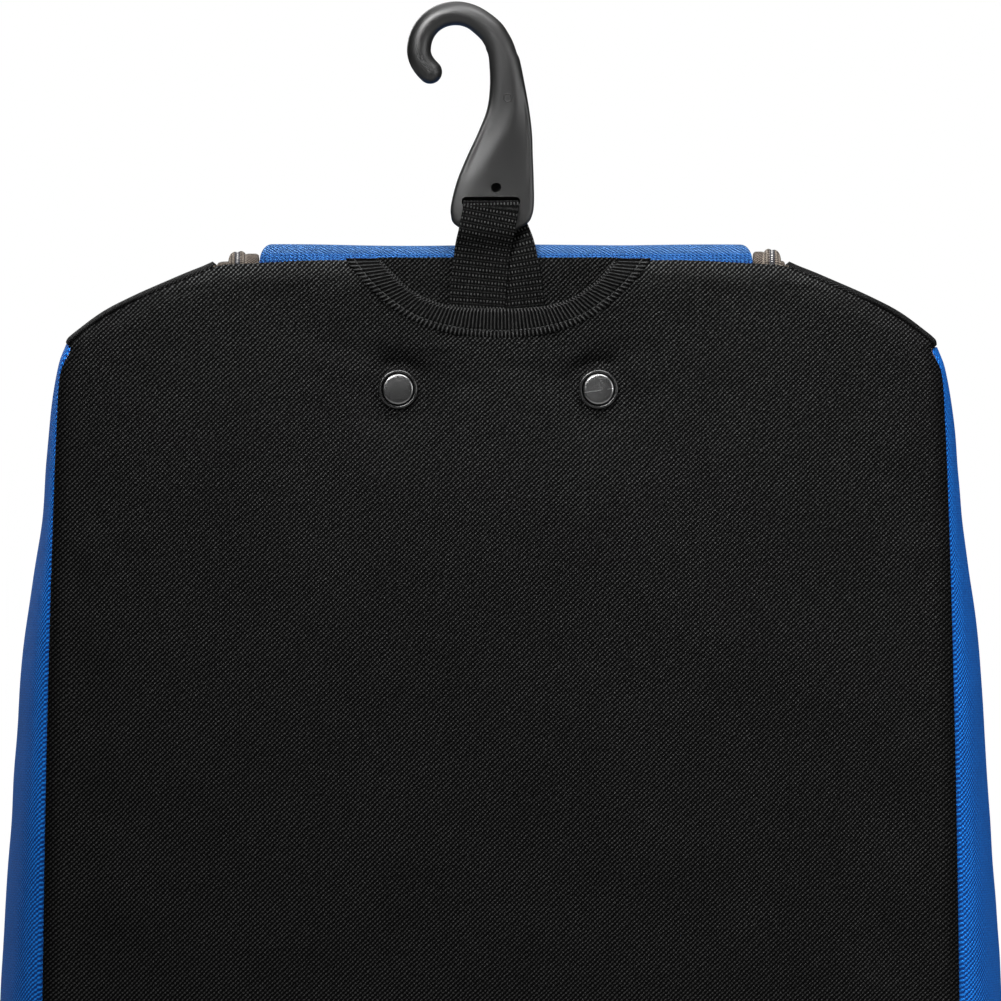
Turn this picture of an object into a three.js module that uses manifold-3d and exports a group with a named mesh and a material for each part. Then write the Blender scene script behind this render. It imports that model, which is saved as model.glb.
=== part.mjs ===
// A wheeled kit bag: a tall zipped bag with a padded front panel, bulging side gussets,
// a hanging hook on a webbing loop, and two wheels in a moulded base tub.
// Millimetres, +Z up. The front panel faces -Y and the bag stands on z = 0.
import * as THREE from "three";
import { mergeVertices } from "three/addons/utils/BufferGeometryUtils.js";
import Module from "manifold-3d";

const wasm = await Module();
wasm.setup();

// Driving dimensions of the body
const GAP = 0.3;
const PANEL_TOP = 889;
const CLOTH_BOTTOM = 88;
const HALF_DEPTH = 140;
const CLOTH = 2.5;
const PANEL_PAD = 6;
const PANEL_ROLL = 7;
const PANEL_ROLL_WIDTH = 12;
const PANEL_CROWN = 6;
const CROWN_FADE = 140;
const CROWN_BOTTOM = 108;
const GUSSET_FULLNESS = 4;
const GUSSET_SQUARING = { from: 760, over: 80, by: 6 };
const GUSSET_TUCK = { from: 800, over: 50 };
const GUSSET_COLUMNS = [0, 0.35, 0.6, 0.78, 0.9, 0.96, 1];

// Half-width of the panels, and how far the gusset bulges past them, by height
const SIDE_SECTIONS = [
  { z: 0, panel: 203, bulge: 18 },
  { z: 88, panel: 205, bulge: 20 },
  { z: 250, panel: 207.5, bulge: 25 },
  { z: 400, panel: 208, bulge: 26 },
  { z: 558, panel: 206.5, bulge: 21 },
  { z: 652, panel: 205, bulge: 16.5 },
  { z: 720, panel: 203.4, bulge: 13.5 },
  { z: 774, panel: 201.8, bulge: 8.5 },
  { z: 819, panel: 200, bulge: 6 },
  { z: 841, panel: 198.3, bulge: 3.6 },
  { z: 850, panel: 194.3, bulge: 4.2 },
];

// The sloping shoulder strip: its outer line from the top zip to the side, and its seam allowance
const SHOULDER = { topX: 130, topZ: 890.5, lowX: 196.2, lowZ: 855.2, rise: 4, tuck: 4 };
const SHOULDER_FULLNESS = 6;

// Scooped mouth of the hook pocket, bound with tape
const MOUTH = { x: -1.2, half: 54.5, bottom: 868.4, top: 891.5, power: 3.2 };
const BINDING = { width: 12.5, inside: 9, thick: 1.2, fold: 1.6, clear: 0.9, faceClear: 0.5, hem: 4, top: 2.4 };
const POCKET = { half: 66, bottom: 770, depth: 13, wall: 2, corner: 14, clear: 0.9 };
const POCKET_COLUMNS = [0, 0.35, 0.62, 0.8, 0.88, 0.95, 1];

// Webbing loop and the hook that it carries
const WEBBING = { width: 25, thick: 1.8, sewnZ: 800, lift: 1.3, bend: 3 };
const HOOK_Y = -133;
const HOOK_BEND = { x: -18.7, z: 984.5, radius: 17.8, rod: 5.4, tip: 30, cap: 3.4, leave: 20, widen: 0.6 };
const HOOK_SLOT = { x: -4.2, width: 26.4, bottom: 915.8, top: 919.2 };
const HOOK_HOLE = { x: -2.2, z: 923.7, radius: 2.4, depth: 3 };
const HOOK_SIDES = 16;

// The hook's shank below the bend, by section: centre, half-width, half-thickness, dish of the face
const SHANK_SECTIONS = [
  { x: 0.35, z: 985.0, half: 6.65, thick: 5.3, dish: 0 },
  { x: 1.6, z: 980.9, half: 7.0, thick: 5.2, dish: 0 },
  { x: 2.9, z: 970.1, half: 7.9, thick: 4.9, dish: 0.3 },
  { x: 3.2, z: 959.3, half: 9.5, thick: 4.6, dish: 0.8 },
  { x: 1.8, z: 948.5, half: 12.2, thick: 4.3, dish: 1.2 },
  { x: -0.5, z: 937.7, half: 14.9, thick: 4.0, dish: 1.2 },
  { x: -2.5, z: 926.9, half: 17.3, thick: 3.7, dish: 0.8 },
  { x: -3.8, z: 916.1, half: 18.7, thick: 3.4, dish: 0.3 },
  { x: -4.3, z: 910.7, half: 18.2, thick: 3.3, dish: 0 },
  { x: -4.7, z: 907.6, half: 16.6, thick: 3.1, dish: 0 },
  { x: -5.0, z: 904.9, half: 12.6, thick: 2.2, dish: 0 },
];
const PLATE_THICK = 3.4;

// Studs on the front panel, each a metal cap in a dark ring, seated in a dimple
const STUD = { x: 45.1, z: 832.8, ring: 8.8, cap: 6.95, ringRise: 2.1, capRise: 3.4 };
const DIMPLE = { depth: 3.2, flat: 12, reach: 22 };
const DENT = { depth: 1.8, rise: 19, halfX: 27, halfZ: 10 };

// Padded lid between the two top zips, a little off the middle, as are the zips
const LID = { x: 2.3, half: 111, front: -139.6, back: 139.6, bottom: 889.3, thick: 8.7, round: 6, edge: 0.35 };
const LID_COLUMNS = [0, 2.5, 6, 19, 39];
const LID_POCKET_CLEAR = 0.5;
const ZIP = { x: 120.4, shift: 1.7, inner: 104, outer: 128.6, tapeZ: 887.4, tape: 1.3, chain: 4.3, roll: 8 };
const ZIP_RISE = { run: 2.8, front: 5.6, from: 95, over: 25 };
const SLIDER = { y: 108, half: 4, length: 15, thick: 3.6, pull: 26, pullHalf: 3, pullThick: 1.2 };

// Moulded base tub with its wheels and feet
const TUB = { bottom: 10, top: 104, wall: 3, ease: 0.6, chamfer: 30 };
const WELL = { half: 20, height: 80, front: 74 };
const WHEEL = { x: 168, radius: 36, half: 13.5, tyre: 9, groove: 4, proud: 2.4 };
const AXLE = { radius: 5, clear: 0.3 };
const FOOT = { x: 150, y: -104, length: 70, width: 26, bevel: 2 };

// Materials, one for each cloth, plastic and metal
function material(color, roughness, metalness = 0) {
  return new THREE.MeshStandardMaterial({ color, roughness, metalness });
}
const BLACK_CLOTH = material(0x1b1b1b, 0.9);
const BLUE_CLOTH = material(0x1d56a8, 0.85);
const BLACK_WEBBING = material(0x151515, 0.8);
const BLACK_TAPE = material(0x1e1e1e, 0.85);
const HOOK_PLASTIC = material(0x2a2a2a, 0.45);
const STUD_METAL = material(0x77777a, 0.3, 1);
const STUD_DARK = material(0x141414, 0.4);
const ZIP_CLOTH = material(0x77695c, 0.8);
const SLIDER_METAL = material(0x4a4744, 0.4, 1);
const TUB_PLASTIC = material(0x17181a, 0.55);
const HUB_PLASTIC = material(0x2c2d30, 0.5);
const TYRE_RUBBER = material(0x0f0f10, 0.75);
const AXLE_STEEL = material(0x8a8c8f, 0.35, 1);
const FOOT_RUBBER = material(0x121212, 0.8);

// Small maths
const clamp01 = (value) => Math.min(1, Math.max(0, value));
const smooth = (value) => clamp01(value) ** 2 * (3 - 2 * clamp01(value));
const quarterRound = (value) => Math.sqrt(1 - (1 - clamp01(value)) ** 2);
const spread = (count) => Array.from({ length: count }, (_, i) => i / (count - 1));
const mirrored = (shares) => [...shares.slice(1).reverse().map((s) => -s), ...shares];

// A column of a table of sections at any height, eased so that it has no kinks at the rows
function sectionValue(table, column, z) {
  const above = table.findIndex((row) => row.z >= z);
  const i = above < 0 ? table.length - 1 : Math.max(1, above);
  const [low, high] = [table[i - 1], table[i]];
  const before = table[i - 2] ?? low;
  const after = table[i + 1] ?? high;
  const slope = (a, b) => (b.z === a.z ? 0 : (b[column] - a[column]) / (b.z - a.z));
  const span = high.z - low.z;
  const t = clamp01((z - low.z) / span);
  const start = slope(before, high) * span;
  const end = slope(low, after) * span;
  const rise = high[column] - low[column];
  return low[column] + t * start + t * t * (3 * rise - 2 * start - end) + t ** 3 * (start + end - 2 * rise);
}
const panelHalf = (z) => sectionValue(SIDE_SECTIONS, "panel", z);
const gussetBulge = (z) => sectionValue(SIDE_SECTIONS, "bulge", z);

// Meshes and solids
function geometryOf(points, triangles) {
  const geometry = new THREE.BufferGeometry();
  const positions = points.flatMap((p) => [p.x, p.y, p.z]);
  geometry.setAttribute("position", new THREE.Float32BufferAttribute(positions, 3));
  geometry.setIndex(triangles);
  return geometry;
}

function solidOf(geometry) {
  const bare = geometry.clone();
  bare.deleteAttribute("normal");
  bare.deleteAttribute("uv");
  const merged = mergeVertices(bare, 1e-3);
  const vertProperties = new Float32Array(merged.attributes.position.array);
  const triVerts = new Uint32Array(merged.index.array);
  return new wasm.Manifold(new wasm.Mesh({ numProp: 3, vertProperties, triVerts }));
}

function geometryOfSolid(solid) {
  const mesh = solid.getMesh();
  const geometry = new THREE.BufferGeometry();
  geometry.setAttribute("position", new THREE.BufferAttribute(mesh.vertProperties, 3));
  geometry.setIndex(new THREE.BufferAttribute(mesh.triVerts, 1));
  return geometry;
}

// Turns a closed geometry the right way out where its faces point inwards
function facingOut(geometry) {
  const index = geometry.index.array;
  const position = geometry.attributes.position;
  const corner = (i) => new THREE.Vector3().fromBufferAttribute(position, index[i]);
  let volume = 0;
  for (let i = 0; i < index.length; i += 3) {
    volume += corner(i).dot(corner(i + 1).cross(corner(i + 2)));
  }
  if (volume < 0) {
    for (let i = 0; i < index.length; i += 3) {
      [index[i + 1], index[i + 2]] = [index[i + 2], index[i + 1]];
    }
  }
  return geometry;
}

// A wall of cloth: a grid of outer points with a grid of inner points behind it, closed round its edge.
// place(row, column) gives the pair of points.
function wall(rowCount, columnCount, place) {
  const outer = [];
  const inner = [];
  for (let r = 0; r < rowCount; r++) {
    for (let c = 0; c < columnCount; c++) {
      const [front, back] = place(r, c);
      outer.push(front);
      inner.push(back);
    }
  }
  const behind = outer.length;
  const at = (r, c) => r * columnCount + c;
  const triangles = [];
  const quad = (a, b, c, d) => triangles.push(a, b, c, a, c, d);
  for (let r = 0; r + 1 < rowCount; r++) {
    for (let c = 0; c + 1 < columnCount; c++) {
      const [a, b, e, f] = [at(r, c), at(r, c + 1), at(r + 1, c + 1), at(r + 1, c)];
      quad(a, b, e, f);
      quad(behind + f, behind + e, behind + b, behind + a);
    }
  }
  const rim = [];
  for (let c = 0; c + 1 < columnCount; c++) rim.push(at(0, c));
  for (let r = 0; r + 1 < rowCount; r++) rim.push(at(r, columnCount - 1));
  for (let c = columnCount - 1; c > 0; c--) rim.push(at(rowCount - 1, c));
  for (let r = rowCount - 1; r > 0; r--) rim.push(at(r, 0));
  rim.forEach((a, i) => {
    const b = rim[(i + 1) % rim.length];
    quad(b, a, behind + a, behind + b);
  });
  return facingOut(geometryOf([...outer, ...inner], triangles));
}

// A bar through rings of the same number of points, closed by a fan at each end
function bar(rings) {
  const sides = rings[0].length;
  const points = rings.flat();
  const triangles = [];
  for (let r = 0; r + 1 < rings.length; r++) {
    for (let s = 0; s < sides; s++) {
      const next = (s + 1) % sides;
      const [a, b] = [r * sides + s, r * sides + next];
      triangles.push(a, b, b + sides, a, b + sides, a + sides);
    }
  }
  for (const [ring, flip] of [[0, true], [rings.length - 1, false]]) {
    const centre = new THREE.Vector3();
    rings[ring].forEach((p) => centre.addScaledVector(p, 1 / sides));
    points.push(centre);
    for (let s = 0; s < sides; s++) {
      const [a, b] = [ring * sides + s, ring * sides + ((s + 1) % sides)];
      triangles.push(points.length - 1, flip ? b : a, flip ? a : b);
    }
  }
  return facingOut(geometryOf(points, triangles));
}

function boxSolid(x0, x1, y0, y1, z0, z1) {
  const box = new THREE.BoxGeometry(x1 - x0, y1 - y0, z1 - z0);
  return solidOf(box.translate((x0 + x1) / 2, (y0 + y1) / 2, (z0 + z1) / 2));
}

// A shape drawn in x and y, extruded upwards from one height to another
function prismSolid(shape, z0, z1) {
  const prism = new THREE.ExtrudeGeometry(shape, { depth: z1 - z0, bevelEnabled: false, curveSegments: 5 });
  return solidOf(prism.translate(0, 0, z0));
}

// Line of the shoulder strip: 0 at the top zip, 1 at the side, moved inwards by a given amount
function shoulderPoint(share, inwards) {
  const chord = new THREE.Vector2(SHOULDER.lowX - SHOULDER.topX, SHOULDER.lowZ - SHOULDER.topZ);
  const across = new THREE.Vector2(-chord.y, chord.x).normalize();
  const bow = 4 * SHOULDER.rise * share * (1 - share);
  const along = chord.clone().addScaledVector(across, 4 * SHOULDER.rise * (1 - 2 * share));
  const normal = new THREE.Vector2(-along.y, along.x).normalize();
  const point = new THREE.Vector2(SHOULDER.topX, SHOULDER.topZ).addScaledVector(chord, share);
  return point.addScaledVector(across, bow).addScaledVector(normal, -inwards);
}

// Distance of a point of a panel from the panel's edge, on its sides, shoulders and top
function edgeDistance(x, z) {
  const low = shoulderPoint(1, SHOULDER.tuck);
  const top = shoulderPoint(0, SHOULDER.tuck);
  const chord = top.clone().sub(low);
  const offset = new THREE.Vector2(Math.abs(x), z).sub(low);
  const share = clamp01(offset.dot(chord) / chord.lengthSq());
  const slant = (offset.x * chord.y - offset.y * chord.x) / chord.length();
  const shoulder = 4 * SHOULDER.rise * share * (1 - share) - slant;
  return Math.max(0, Math.min(panelHalf(Math.min(z, low.y)) - Math.abs(x), shoulder, PANEL_TOP - z));
}

// How far the padded face of a panel stands out from its seam
function panelRise(x, z) {
  const fade = smooth((PANEL_TOP - z) / CROWN_FADE) * smooth((z - CROWN_BOTTOM) / CROWN_FADE);
  const crown = PANEL_CROWN * fade * (1 - (x / panelHalf(z)) ** 2);
  return CLOTH + PANEL_ROLL * quarterRound(edgeDistance(x, z) / PANEL_ROLL_WIDTH) + crown;
}

// The pull of the studs on the front panel: a flat dimple round each and a dent above it
function studPull(x, z) {
  let pull = 0;
  for (const side of [-1, 1]) {
    const across = x - side * STUD.x - MOUTH.x;
    const up = z - STUD.z;
    pull += DIMPLE.depth * smooth(1 - (Math.hypot(across, up) - DIMPLE.flat) / DIMPLE.reach);
    pull += DENT.depth * Math.exp(-((across / DENT.halfX) ** 2) - ((up - DENT.rise) / DENT.halfZ) ** 2);
  }
  return pull;
}
const frontFace = (x, z) => -HALF_DEPTH - panelRise(x, z) + studPull(x, z);
const panelThick = (x, z) => CLOTH + (PANEL_PAD - CLOTH) * clamp01(edgeDistance(x, z) / PANEL_ROLL_WIDTH);
const frontInside = (x, z) => frontFace(x, z) + panelThick(x, z);

// Rows of a panel, each a height and a half-width: up the sides, over the shoulders, to the top edge
function panelRows(sideHeights, shoulderShares) {
  const sides = sideHeights.map((z) => ({ z, half: panelHalf(z) }));
  const slopes = shoulderShares.map((share) => shoulderPoint(share, SHOULDER.tuck));
  const top = shoulderPoint(0, SHOULDER.tuck);
  const corner = { z: PANEL_TOP, half: top.x - (PANEL_TOP - top.y) * 2 };
  return [...sides, ...slopes.map((p) => ({ z: p.y, half: p.x })), corner];
}

// Front panel, with the pocket mouth cut out of its top edge
function mouthHeight(x) {
  const share = Math.abs(x - MOUTH.x) / MOUTH.half;
  return MOUTH.bottom + (MOUTH.top - MOUTH.bottom) * share ** MOUTH.power;
}

function frontPanel() {
  const studRows = [-DIMPLE.flat, 0, DIMPLE.flat].map((up) => STUD.z + up);
  const sideHeights = [CLOTH_BOTTOM, 106, 190, 290, 390, 490, 590, 680, 740, 780, 800, 810, ...studRows];
  const rows = panelRows(sideHeights, [1, 0.75, 0.5, 0.3, 0.12, 0]);
  const columns = mirrored([0, 0.08, 0.16, 0.225, 0.29, 0.38, 0.55, 0.75, 0.9, 0.965, 1]);
  const whole = wall(rows.length, columns.length, (r, c) => {
    const { z, half } = rows[r];
    const x = columns[c] * half;
    const front = frontFace(x, z);
    return [new THREE.Vector3(x, front, z), new THREE.Vector3(x, front + panelThick(x, z), z)];
  });
  const cut = new THREE.Shape();
  const reach = MOUTH.half * 1.02;
  cut.moveTo(MOUTH.x - reach, MOUTH.top + 20);
  for (const share of mirrored(spread(9))) {
    const x = MOUTH.x + share * reach;
    cut.lineTo(x, mouthHeight(x));
  }
  cut.lineTo(MOUTH.x + reach, MOUTH.top + 20);
  const cutter = new THREE.ExtrudeGeometry(cut, { depth: 80, bevelEnabled: false });
  cutter.rotateX(Math.PI / 2).translate(0, -HALF_DEPTH + 40, 0);
  return geometryOfSolid(solidOf(whole).subtract(solidOf(cutter)));
}

// Back panel: the same outline, plain
function backPanel() {
  const rows = panelRows([CLOTH_BOTTOM, 106, 200, 320, 440, 560, 680, 780, 830, 846], [1, 0.6, 0.3, 0]);
  const columns = mirrored([0, 0.35, 0.7, 0.93, 0.97, 1]);
  return wall(rows.length, columns.length, (r, c) => {
    const { z, half } = rows[r];
    const x = columns[c] * half;
    const back = HALF_DEPTH + panelRise(x, z);
    return [new THREE.Vector3(x, back, z), new THREE.Vector3(x, back - panelThick(x, z), z)];
  });
}

// Edge of the bound mouth at a share of its half-width, and a point at a given depth below that edge
function boundEdge(share) {
  const x = MOUTH.x + share * (MOUTH.half - BINDING.fold);
  return new THREE.Vector2(x, mouthHeight(x) + GAP);
}

function boundPoint(share, depth) {
  const step = 0.01;
  const along = boundEdge(share + step).sub(boundEdge(share - step)).normalize();
  return boundEdge(share).addScaledVector(new THREE.Vector2(along.y, -along.x), depth);
}

// The share at which a line of the binding, depth below its edge, comes up to the top of the panel
function boundReach(depth) {
  let [low, high] = [0.8, 1.6];
  for (let i = 0; i < 30; i++) {
    const middle = (low + high) / 2;
    if (boundPoint(middle, depth).y < PANEL_TOP - GAP) low = middle;
    else high = middle;
  }
  return low;
}

// Tape bound over the edge of the pocket mouth, down the face and down the inside
function pocketBinding() {
  const stations = mirrored([0, 0.15, 0.3, 0.45, 0.6, 0.72, 0.81, 0.88, 0.93, 0.97, 1]);
  const faceShares = [1, 0.75, 0.5, 0.25, 0.05];
  const across = [
    ...faceShares.map((share) => ({ depth: share * BINDING.width, side: "face" })),
    { depth: -BINDING.fold, side: "face" },
    { depth: -BINDING.fold, side: "inside" },
    { depth: BINDING.inside * 0.5, side: "inside" },
    { depth: BINDING.inside, side: "inside" },
  ];
  const reaches = across.map(({ depth, side }) => (side === "face" && depth > 0 ? boundReach(depth) : 1));
  return wall(stations.length, across.length, (r, c) => {
    const { depth, side } = across[c];
    const point = (extra) => {
      const spot = boundPoint(stations[r] * reaches[c], depth < 0 ? depth + extra : depth);
      const [x, z] = [spot.x, Math.min(spot.y, PANEL_TOP + BINDING.top)];
      const face = frontFace(x, Math.min(z, PANEL_TOP - 1)) - BINDING.faceClear - (extra ? 0 : BINDING.thick);
      const level = z > PANEL_TOP - BINDING.hem ? PANEL_TOP : z;
      const inside = frontInside(x, level) + BINDING.clear + (extra ? 0 : BINDING.thick);
      return new THREE.Vector3(x, side === "face" ? face : inside, z);
    };
    return [point(0), point(BINDING.thick)];
  });
}

// Pocket behind the mouth: a pouch whose sides and foot meet the inside of the front panel
function pocketLevel(x, z) {
  const fromSide = POCKET.half - Math.abs(x - MOUTH.x);
  const fromFoot = z - POCKET.bottom;
  const pouch = quarterRound(Math.min(fromSide, fromFoot) / POCKET.corner);
  const pouched = frontInside(x, Math.min(z, PANEL_TOP - PANEL_ROLL_WIDTH)) + POCKET.depth * pouch;
  return POCKET.clear + Math.max(pouched, frontInside(x, Math.min(z, PANEL_TOP)));
}

function hookPocket() {
  const heights = [0, 0.03, 0.07, 0.12, 0.4, 0.7, 0.85, 0.94, 1];
  const columns = mirrored(POCKET_COLUMNS);
  return wall(heights.length, columns.length, (r, c) => {
    const x = MOUTH.x + columns[c] * POCKET.half;
    const top = MOUTH.top - 3.5 * smooth((Math.abs(columns[c]) - 0.8) / 0.2);
    const z = POCKET.bottom + heights[r] * (top - POCKET.bottom);
    const level = pocketLevel(x, z);
    return [new THREE.Vector3(x, level, z), new THREE.Vector3(x, level + POCKET.wall, z)];
  });
}

// Webbing loop: sewn into the pocket, up through the hook's slot and down again behind
function webbingStations() {
  const { width, thick, sewnZ } = WEBBING;
  const sewn = (x, z) => {
    const wallY = Math.min(pocketLevel(x - width / 2, z), pocketLevel(x + width / 2, z));
    return wallY - 2 * GAP - thick / 2;
  };
  const stand = PLATE_THICK + GAP + thick / 2;
  const over = HOOK_SLOT.bottom + WEBBING.lift + thick / 2;
  const { bend } = WEBBING;
  const legs = [
    { front: -10.4, rear: 7.2, z: sewnZ },
    { front: -10.2, rear: 7.0, z: 840 },
    { front: -9.9, rear: 6.4, z: 868 },
    { front: -7.6, rear: 2.0, z: 893 },
  ];
  const rows = legs.map(({ front, z }) => ({ x: front, y: sewn(front, z) - thick - GAP, z }));
  rows.push({ x: -5.6, y: HOOK_Y - stand, z: 904 });
  rows.push({ x: HOOK_SLOT.x, y: HOOK_Y - stand, z: over - bend });
  for (const angle of [-1.05, -0.52, -0.01, 0.01, 0.52, 1.05]) {
    const y = HOOK_Y + Math.sign(angle) * (stand - bend) + bend * Math.sin(angle);
    rows.push({ x: HOOK_SLOT.x, y, z: over - bend + bend * Math.cos(angle) });
  }
  rows.push({ x: HOOK_SLOT.x, y: HOOK_Y + stand, z: over - bend });
  rows.push({ x: -2.6, y: HOOK_Y + stand, z: 904 });
  legs.reverse().forEach(({ rear, z }) => rows.push({ x: rear, y: sewn(rear, z), z }));
  return rows.map(({ x, y, z }) => new THREE.Vector3(x, y, z));
}

function hookStrap() {
  const stations = webbingStations();
  return wall(stations.length, 3, (r, c) => {
    const last = stations.length - 1;
    const along = stations[Math.min(r + 1, last)].clone().sub(stations[Math.max(r - 1, 0)]).normalize();
    const flat = new THREE.Vector3(0, along.y, along.z).normalize();
    const outwards = new THREE.Vector3(0, -flat.z, flat.y);
    const lean = new THREE.Vector3(1, 0, 0).addScaledVector(along, -along.x).normalize();
    const middle = stations[r].clone().addScaledVector(lean, ((c - 1) * WEBBING.width) / 2);
    const half = WEBBING.thick / 2;
    return [middle.clone().addScaledVector(outwards, half), middle.addScaledVector(outwards, -half)];
  });
}

// Moulded hook: a round rod bent into a crook, widening into a dished plate with a webbing slot
function hookSections() {
  const sections = [];
  const { x, z, radius, rod, tip, cap, leave, widen } = HOOK_BEND;
  const first = 180 + tip;
  const place = (degrees) => {
    const tilt = THREE.MathUtils.degToRad(degrees);
    return { x: x + radius * Math.cos(tilt), z: z + radius * Math.sin(tilt), tilt };
  };
  const capAngle = THREE.MathUtils.radToDeg(cap / radius);
  for (const share of [0.95, 0.8, 0.5]) {
    const half = rod * Math.cbrt(1 - share ** 3);
    sections.push({ ...place(first + capAngle * share), half, thick: half, dish: 0 });
  }
  const steps = 12;
  for (let i = 0; i <= steps; i++) {
    const degrees = first + ((leave - first) * i) / steps;
    sections.push({ ...place(degrees), half: rod + (widen * i) / steps, thick: rod, dish: 0 });
  }
  return [...sections, ...SHANK_SECTIONS.map((section) => ({ ...section, tilt: 0 }))];
}

function hookRing({ x, z, half, thick, dish, tilt }) {
  const across = new THREE.Vector2(Math.cos(tilt), Math.sin(tilt));
  const square = 1 - 0.35 * clamp01((half - thick) / half);
  return Array.from({ length: HOOK_SIDES }, (_, s) => {
    const angle = (2 * Math.PI * s) / HOOK_SIDES;
    const [c, n] = [Math.cos(angle), Math.sin(angle)];
    const out = Math.sign(c) * Math.abs(c) ** square;
    const up = Math.sign(n) * Math.abs(n) ** square;
    const sunk = n < 0 ? dish * (1 - out * out) : 0;
    return new THREE.Vector3(x + across.x * half * out, HOOK_Y + thick * up + sunk, z + across.y * half * out);
  });
}

function bagHook() {
  const whole = solidOf(bar(hookSections().map(hookRing)));
  const left = HOOK_SLOT.x - HOOK_SLOT.width / 2;
  const slot = boxSolid(left, left + HOOK_SLOT.width, HOOK_Y - 9, HOOK_Y + 9, HOOK_SLOT.bottom, HOOK_SLOT.top);
  const hole = new THREE.CylinderGeometry(HOOK_HOLE.radius, HOOK_HOLE.radius, 6, 12);
  hole.translate(HOOK_HOLE.x, HOOK_Y - HOOK_HOLE.depth, HOOK_HOLE.z);
  return geometryOfSolid(whole.subtract(slot).subtract(solidOf(hole)));
}

// Studs turned about the line through the panel
function turned(profile, sides) {
  const points = profile.map(([radius, height]) => new THREE.Vector2(radius, height));
  const lathe = new THREE.LatheGeometry(points, sides);
  lathe.deleteAttribute("normal");
  lathe.deleteAttribute("uv");
  return facingOut(mergeVertices(lathe, 1e-3));
}

function studSeat(side) {
  const x = MOUTH.x + side * STUD.x;
  const around = spread(9).map((share) => {
    const angle = 2 * Math.PI * share;
    return frontFace(x + STUD.ring * Math.cos(angle), STUD.z + STUD.ring * Math.sin(angle));
  });
  return new THREE.Vector3(x, Math.min(frontFace(x, STUD.z), ...around) - GAP, STUD.z);
}

function studRing() {
  const { ring, cap, ringRise } = STUD;
  const bore = cap + GAP;
  const lip = [[bore, 0], [ring - 0.6, 0], [ring, 0.7], [ring - 0.5, ringRise], [bore + 0.4, ringRise]];
  return turned([...lip, [bore, ringRise - 0.5], [bore, 0]], 18);
}

function studCap() {
  const { cap, capRise } = STUD;
  return turned([[0, 0], [cap, 0], [cap, capRise - 0.9], [cap - 0.8, capRise], [0, capRise + 0.2]], 18);
}

// Side gusset of blue cloth, bulging between the two panels
function sideGusset(side) {
  const heights = [CLOTH_BOTTOM, 190, 300, 400, 490, 570, 640, 690, 730, 755, 780, 805, 825, 840, 850];
  const columns = mirrored(GUSSET_COLUMNS);
  const reach = HALF_DEPTH - GAP;
  const tuck = shoulderPoint(1, 0).sub(shoulderPoint(1, SHOULDER.tuck));
  return wall(heights.length, columns.length, (r, c) => {
    const share = Math.abs(columns[c]);
    const z = heights[r];
    const near = smooth((z - GUSSET_TUCK.from) / GUSSET_TUCK.over);
    const lift = near * tuck.y * (1 - share ** SHOULDER_FULLNESS);
    const squaring = GUSSET_SQUARING.by * smooth((z - GUSSET_SQUARING.from) / GUSSET_SQUARING.over);
    const out = panelHalf(z) + gussetBulge(z) * (1 - share ** (GUSSET_FULLNESS + squaring));
    const y = columns[c] * reach;
    return [new THREE.Vector3(side * out, y, z + lift), new THREE.Vector3(side * (out - CLOTH), y, z + lift)];
  });
}

// Shoulder strip of black cloth, from the top zip over the corner to the side gusset
function shoulderStrip(side) {
  const shares = spread(7);
  const columns = mirrored([0, 0.5, 0.75, 0.88, 0.95, 1]);
  const reach = HALF_DEPTH - GAP;
  return wall(shares.length, columns.length, (r, c) => {
    const inwards = SHOULDER.tuck * Math.abs(columns[c]) ** SHOULDER_FULLNESS;
    const outer = shoulderPoint(shares[r], inwards);
    const inner = shoulderPoint(shares[r], inwards + CLOTH - GAP);
    const y = columns[c] * reach;
    return [new THREE.Vector3(side * outer.x, y, outer.y), new THREE.Vector3(side * inner.x, y, inner.y)];
  });
}

// Padded lid with rolled edges, stepped back at the front round the pocket
function lidFront(x) {
  if (Math.abs(x - MOUTH.x) > POCKET.half + GAP) return LID.front;
  return pocketLevel(x, PANEL_TOP) + POCKET.wall + LID_POCKET_CLEAR;
}

function topLid() {
  const middle = mirrored(POCKET_COLUMNS).map((share) => MOUTH.x + share * POCKET.half);
  const left = LID_COLUMNS.map((inset) => LID.x - LID.half + inset);
  const right = LID_COLUMNS.map((inset) => LID.x + LID.half - inset).reverse();
  const columns = [...left, ...middle, ...right];
  const rows = [0, 0.01, 0.03, 0.3, 0.7, 0.97, 0.99, 1];
  return wall(rows.length, columns.length, (r, c) => {
    const x = columns[c];
    const front = lidFront(x);
    const y = front + rows[r] * (LID.back - front);
    const nearest = Math.min(LID.half - Math.abs(x - LID.x), y - front, LID.back - y);
    const roll = LID.edge + (1 - LID.edge) * quarterRound(nearest / LID.round);
    return [new THREE.Vector3(x, y, LID.bottom + LID.thick * roll), new THREE.Vector3(x, y, LID.bottom)];
  });
}

// Top zip: a flat tape with the rounded chain standing on it, taller at the front, rolled down at both ends
const chainMiddle = (side) => ZIP.x + side * ZIP.shift;

function topZip(side) {
  const reach = HALF_DEPTH - GAP;
  const rows = [-1, -0.98, -0.955, -0.88, -0.78, -0.68, 0, 0.9, 0.955, 0.98, 1];
  const middle = chainMiddle(side);
  const chain = mirrored([0, 0.45, 0.85, 1]).map((share) => middle + share * ZIP.chain);
  const columns = [ZIP.inner, ...chain, ZIP.outer];
  return wall(rows.length, columns.length, (r, c) => {
    const y = rows[r] * reach;
    const end = 0.15 + 0.85 * quarterRound((reach - Math.abs(y)) / ZIP.roll);
    const across = clamp01(Math.abs(columns[c] - middle) / ZIP.chain);
    const taller = (ZIP_RISE.front - ZIP_RISE.run) * smooth((-y - ZIP_RISE.from) / ZIP_RISE.over);
    const rise = ZIP.tape + (ZIP_RISE.run + taller) * Math.sqrt(1 - across ** 2) * end;
    const x = side * columns[c];
    return [new THREE.Vector3(x, y, ZIP.tapeZ + rise), new THREE.Vector3(x, y, ZIP.tapeZ)];
  });
}

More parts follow.
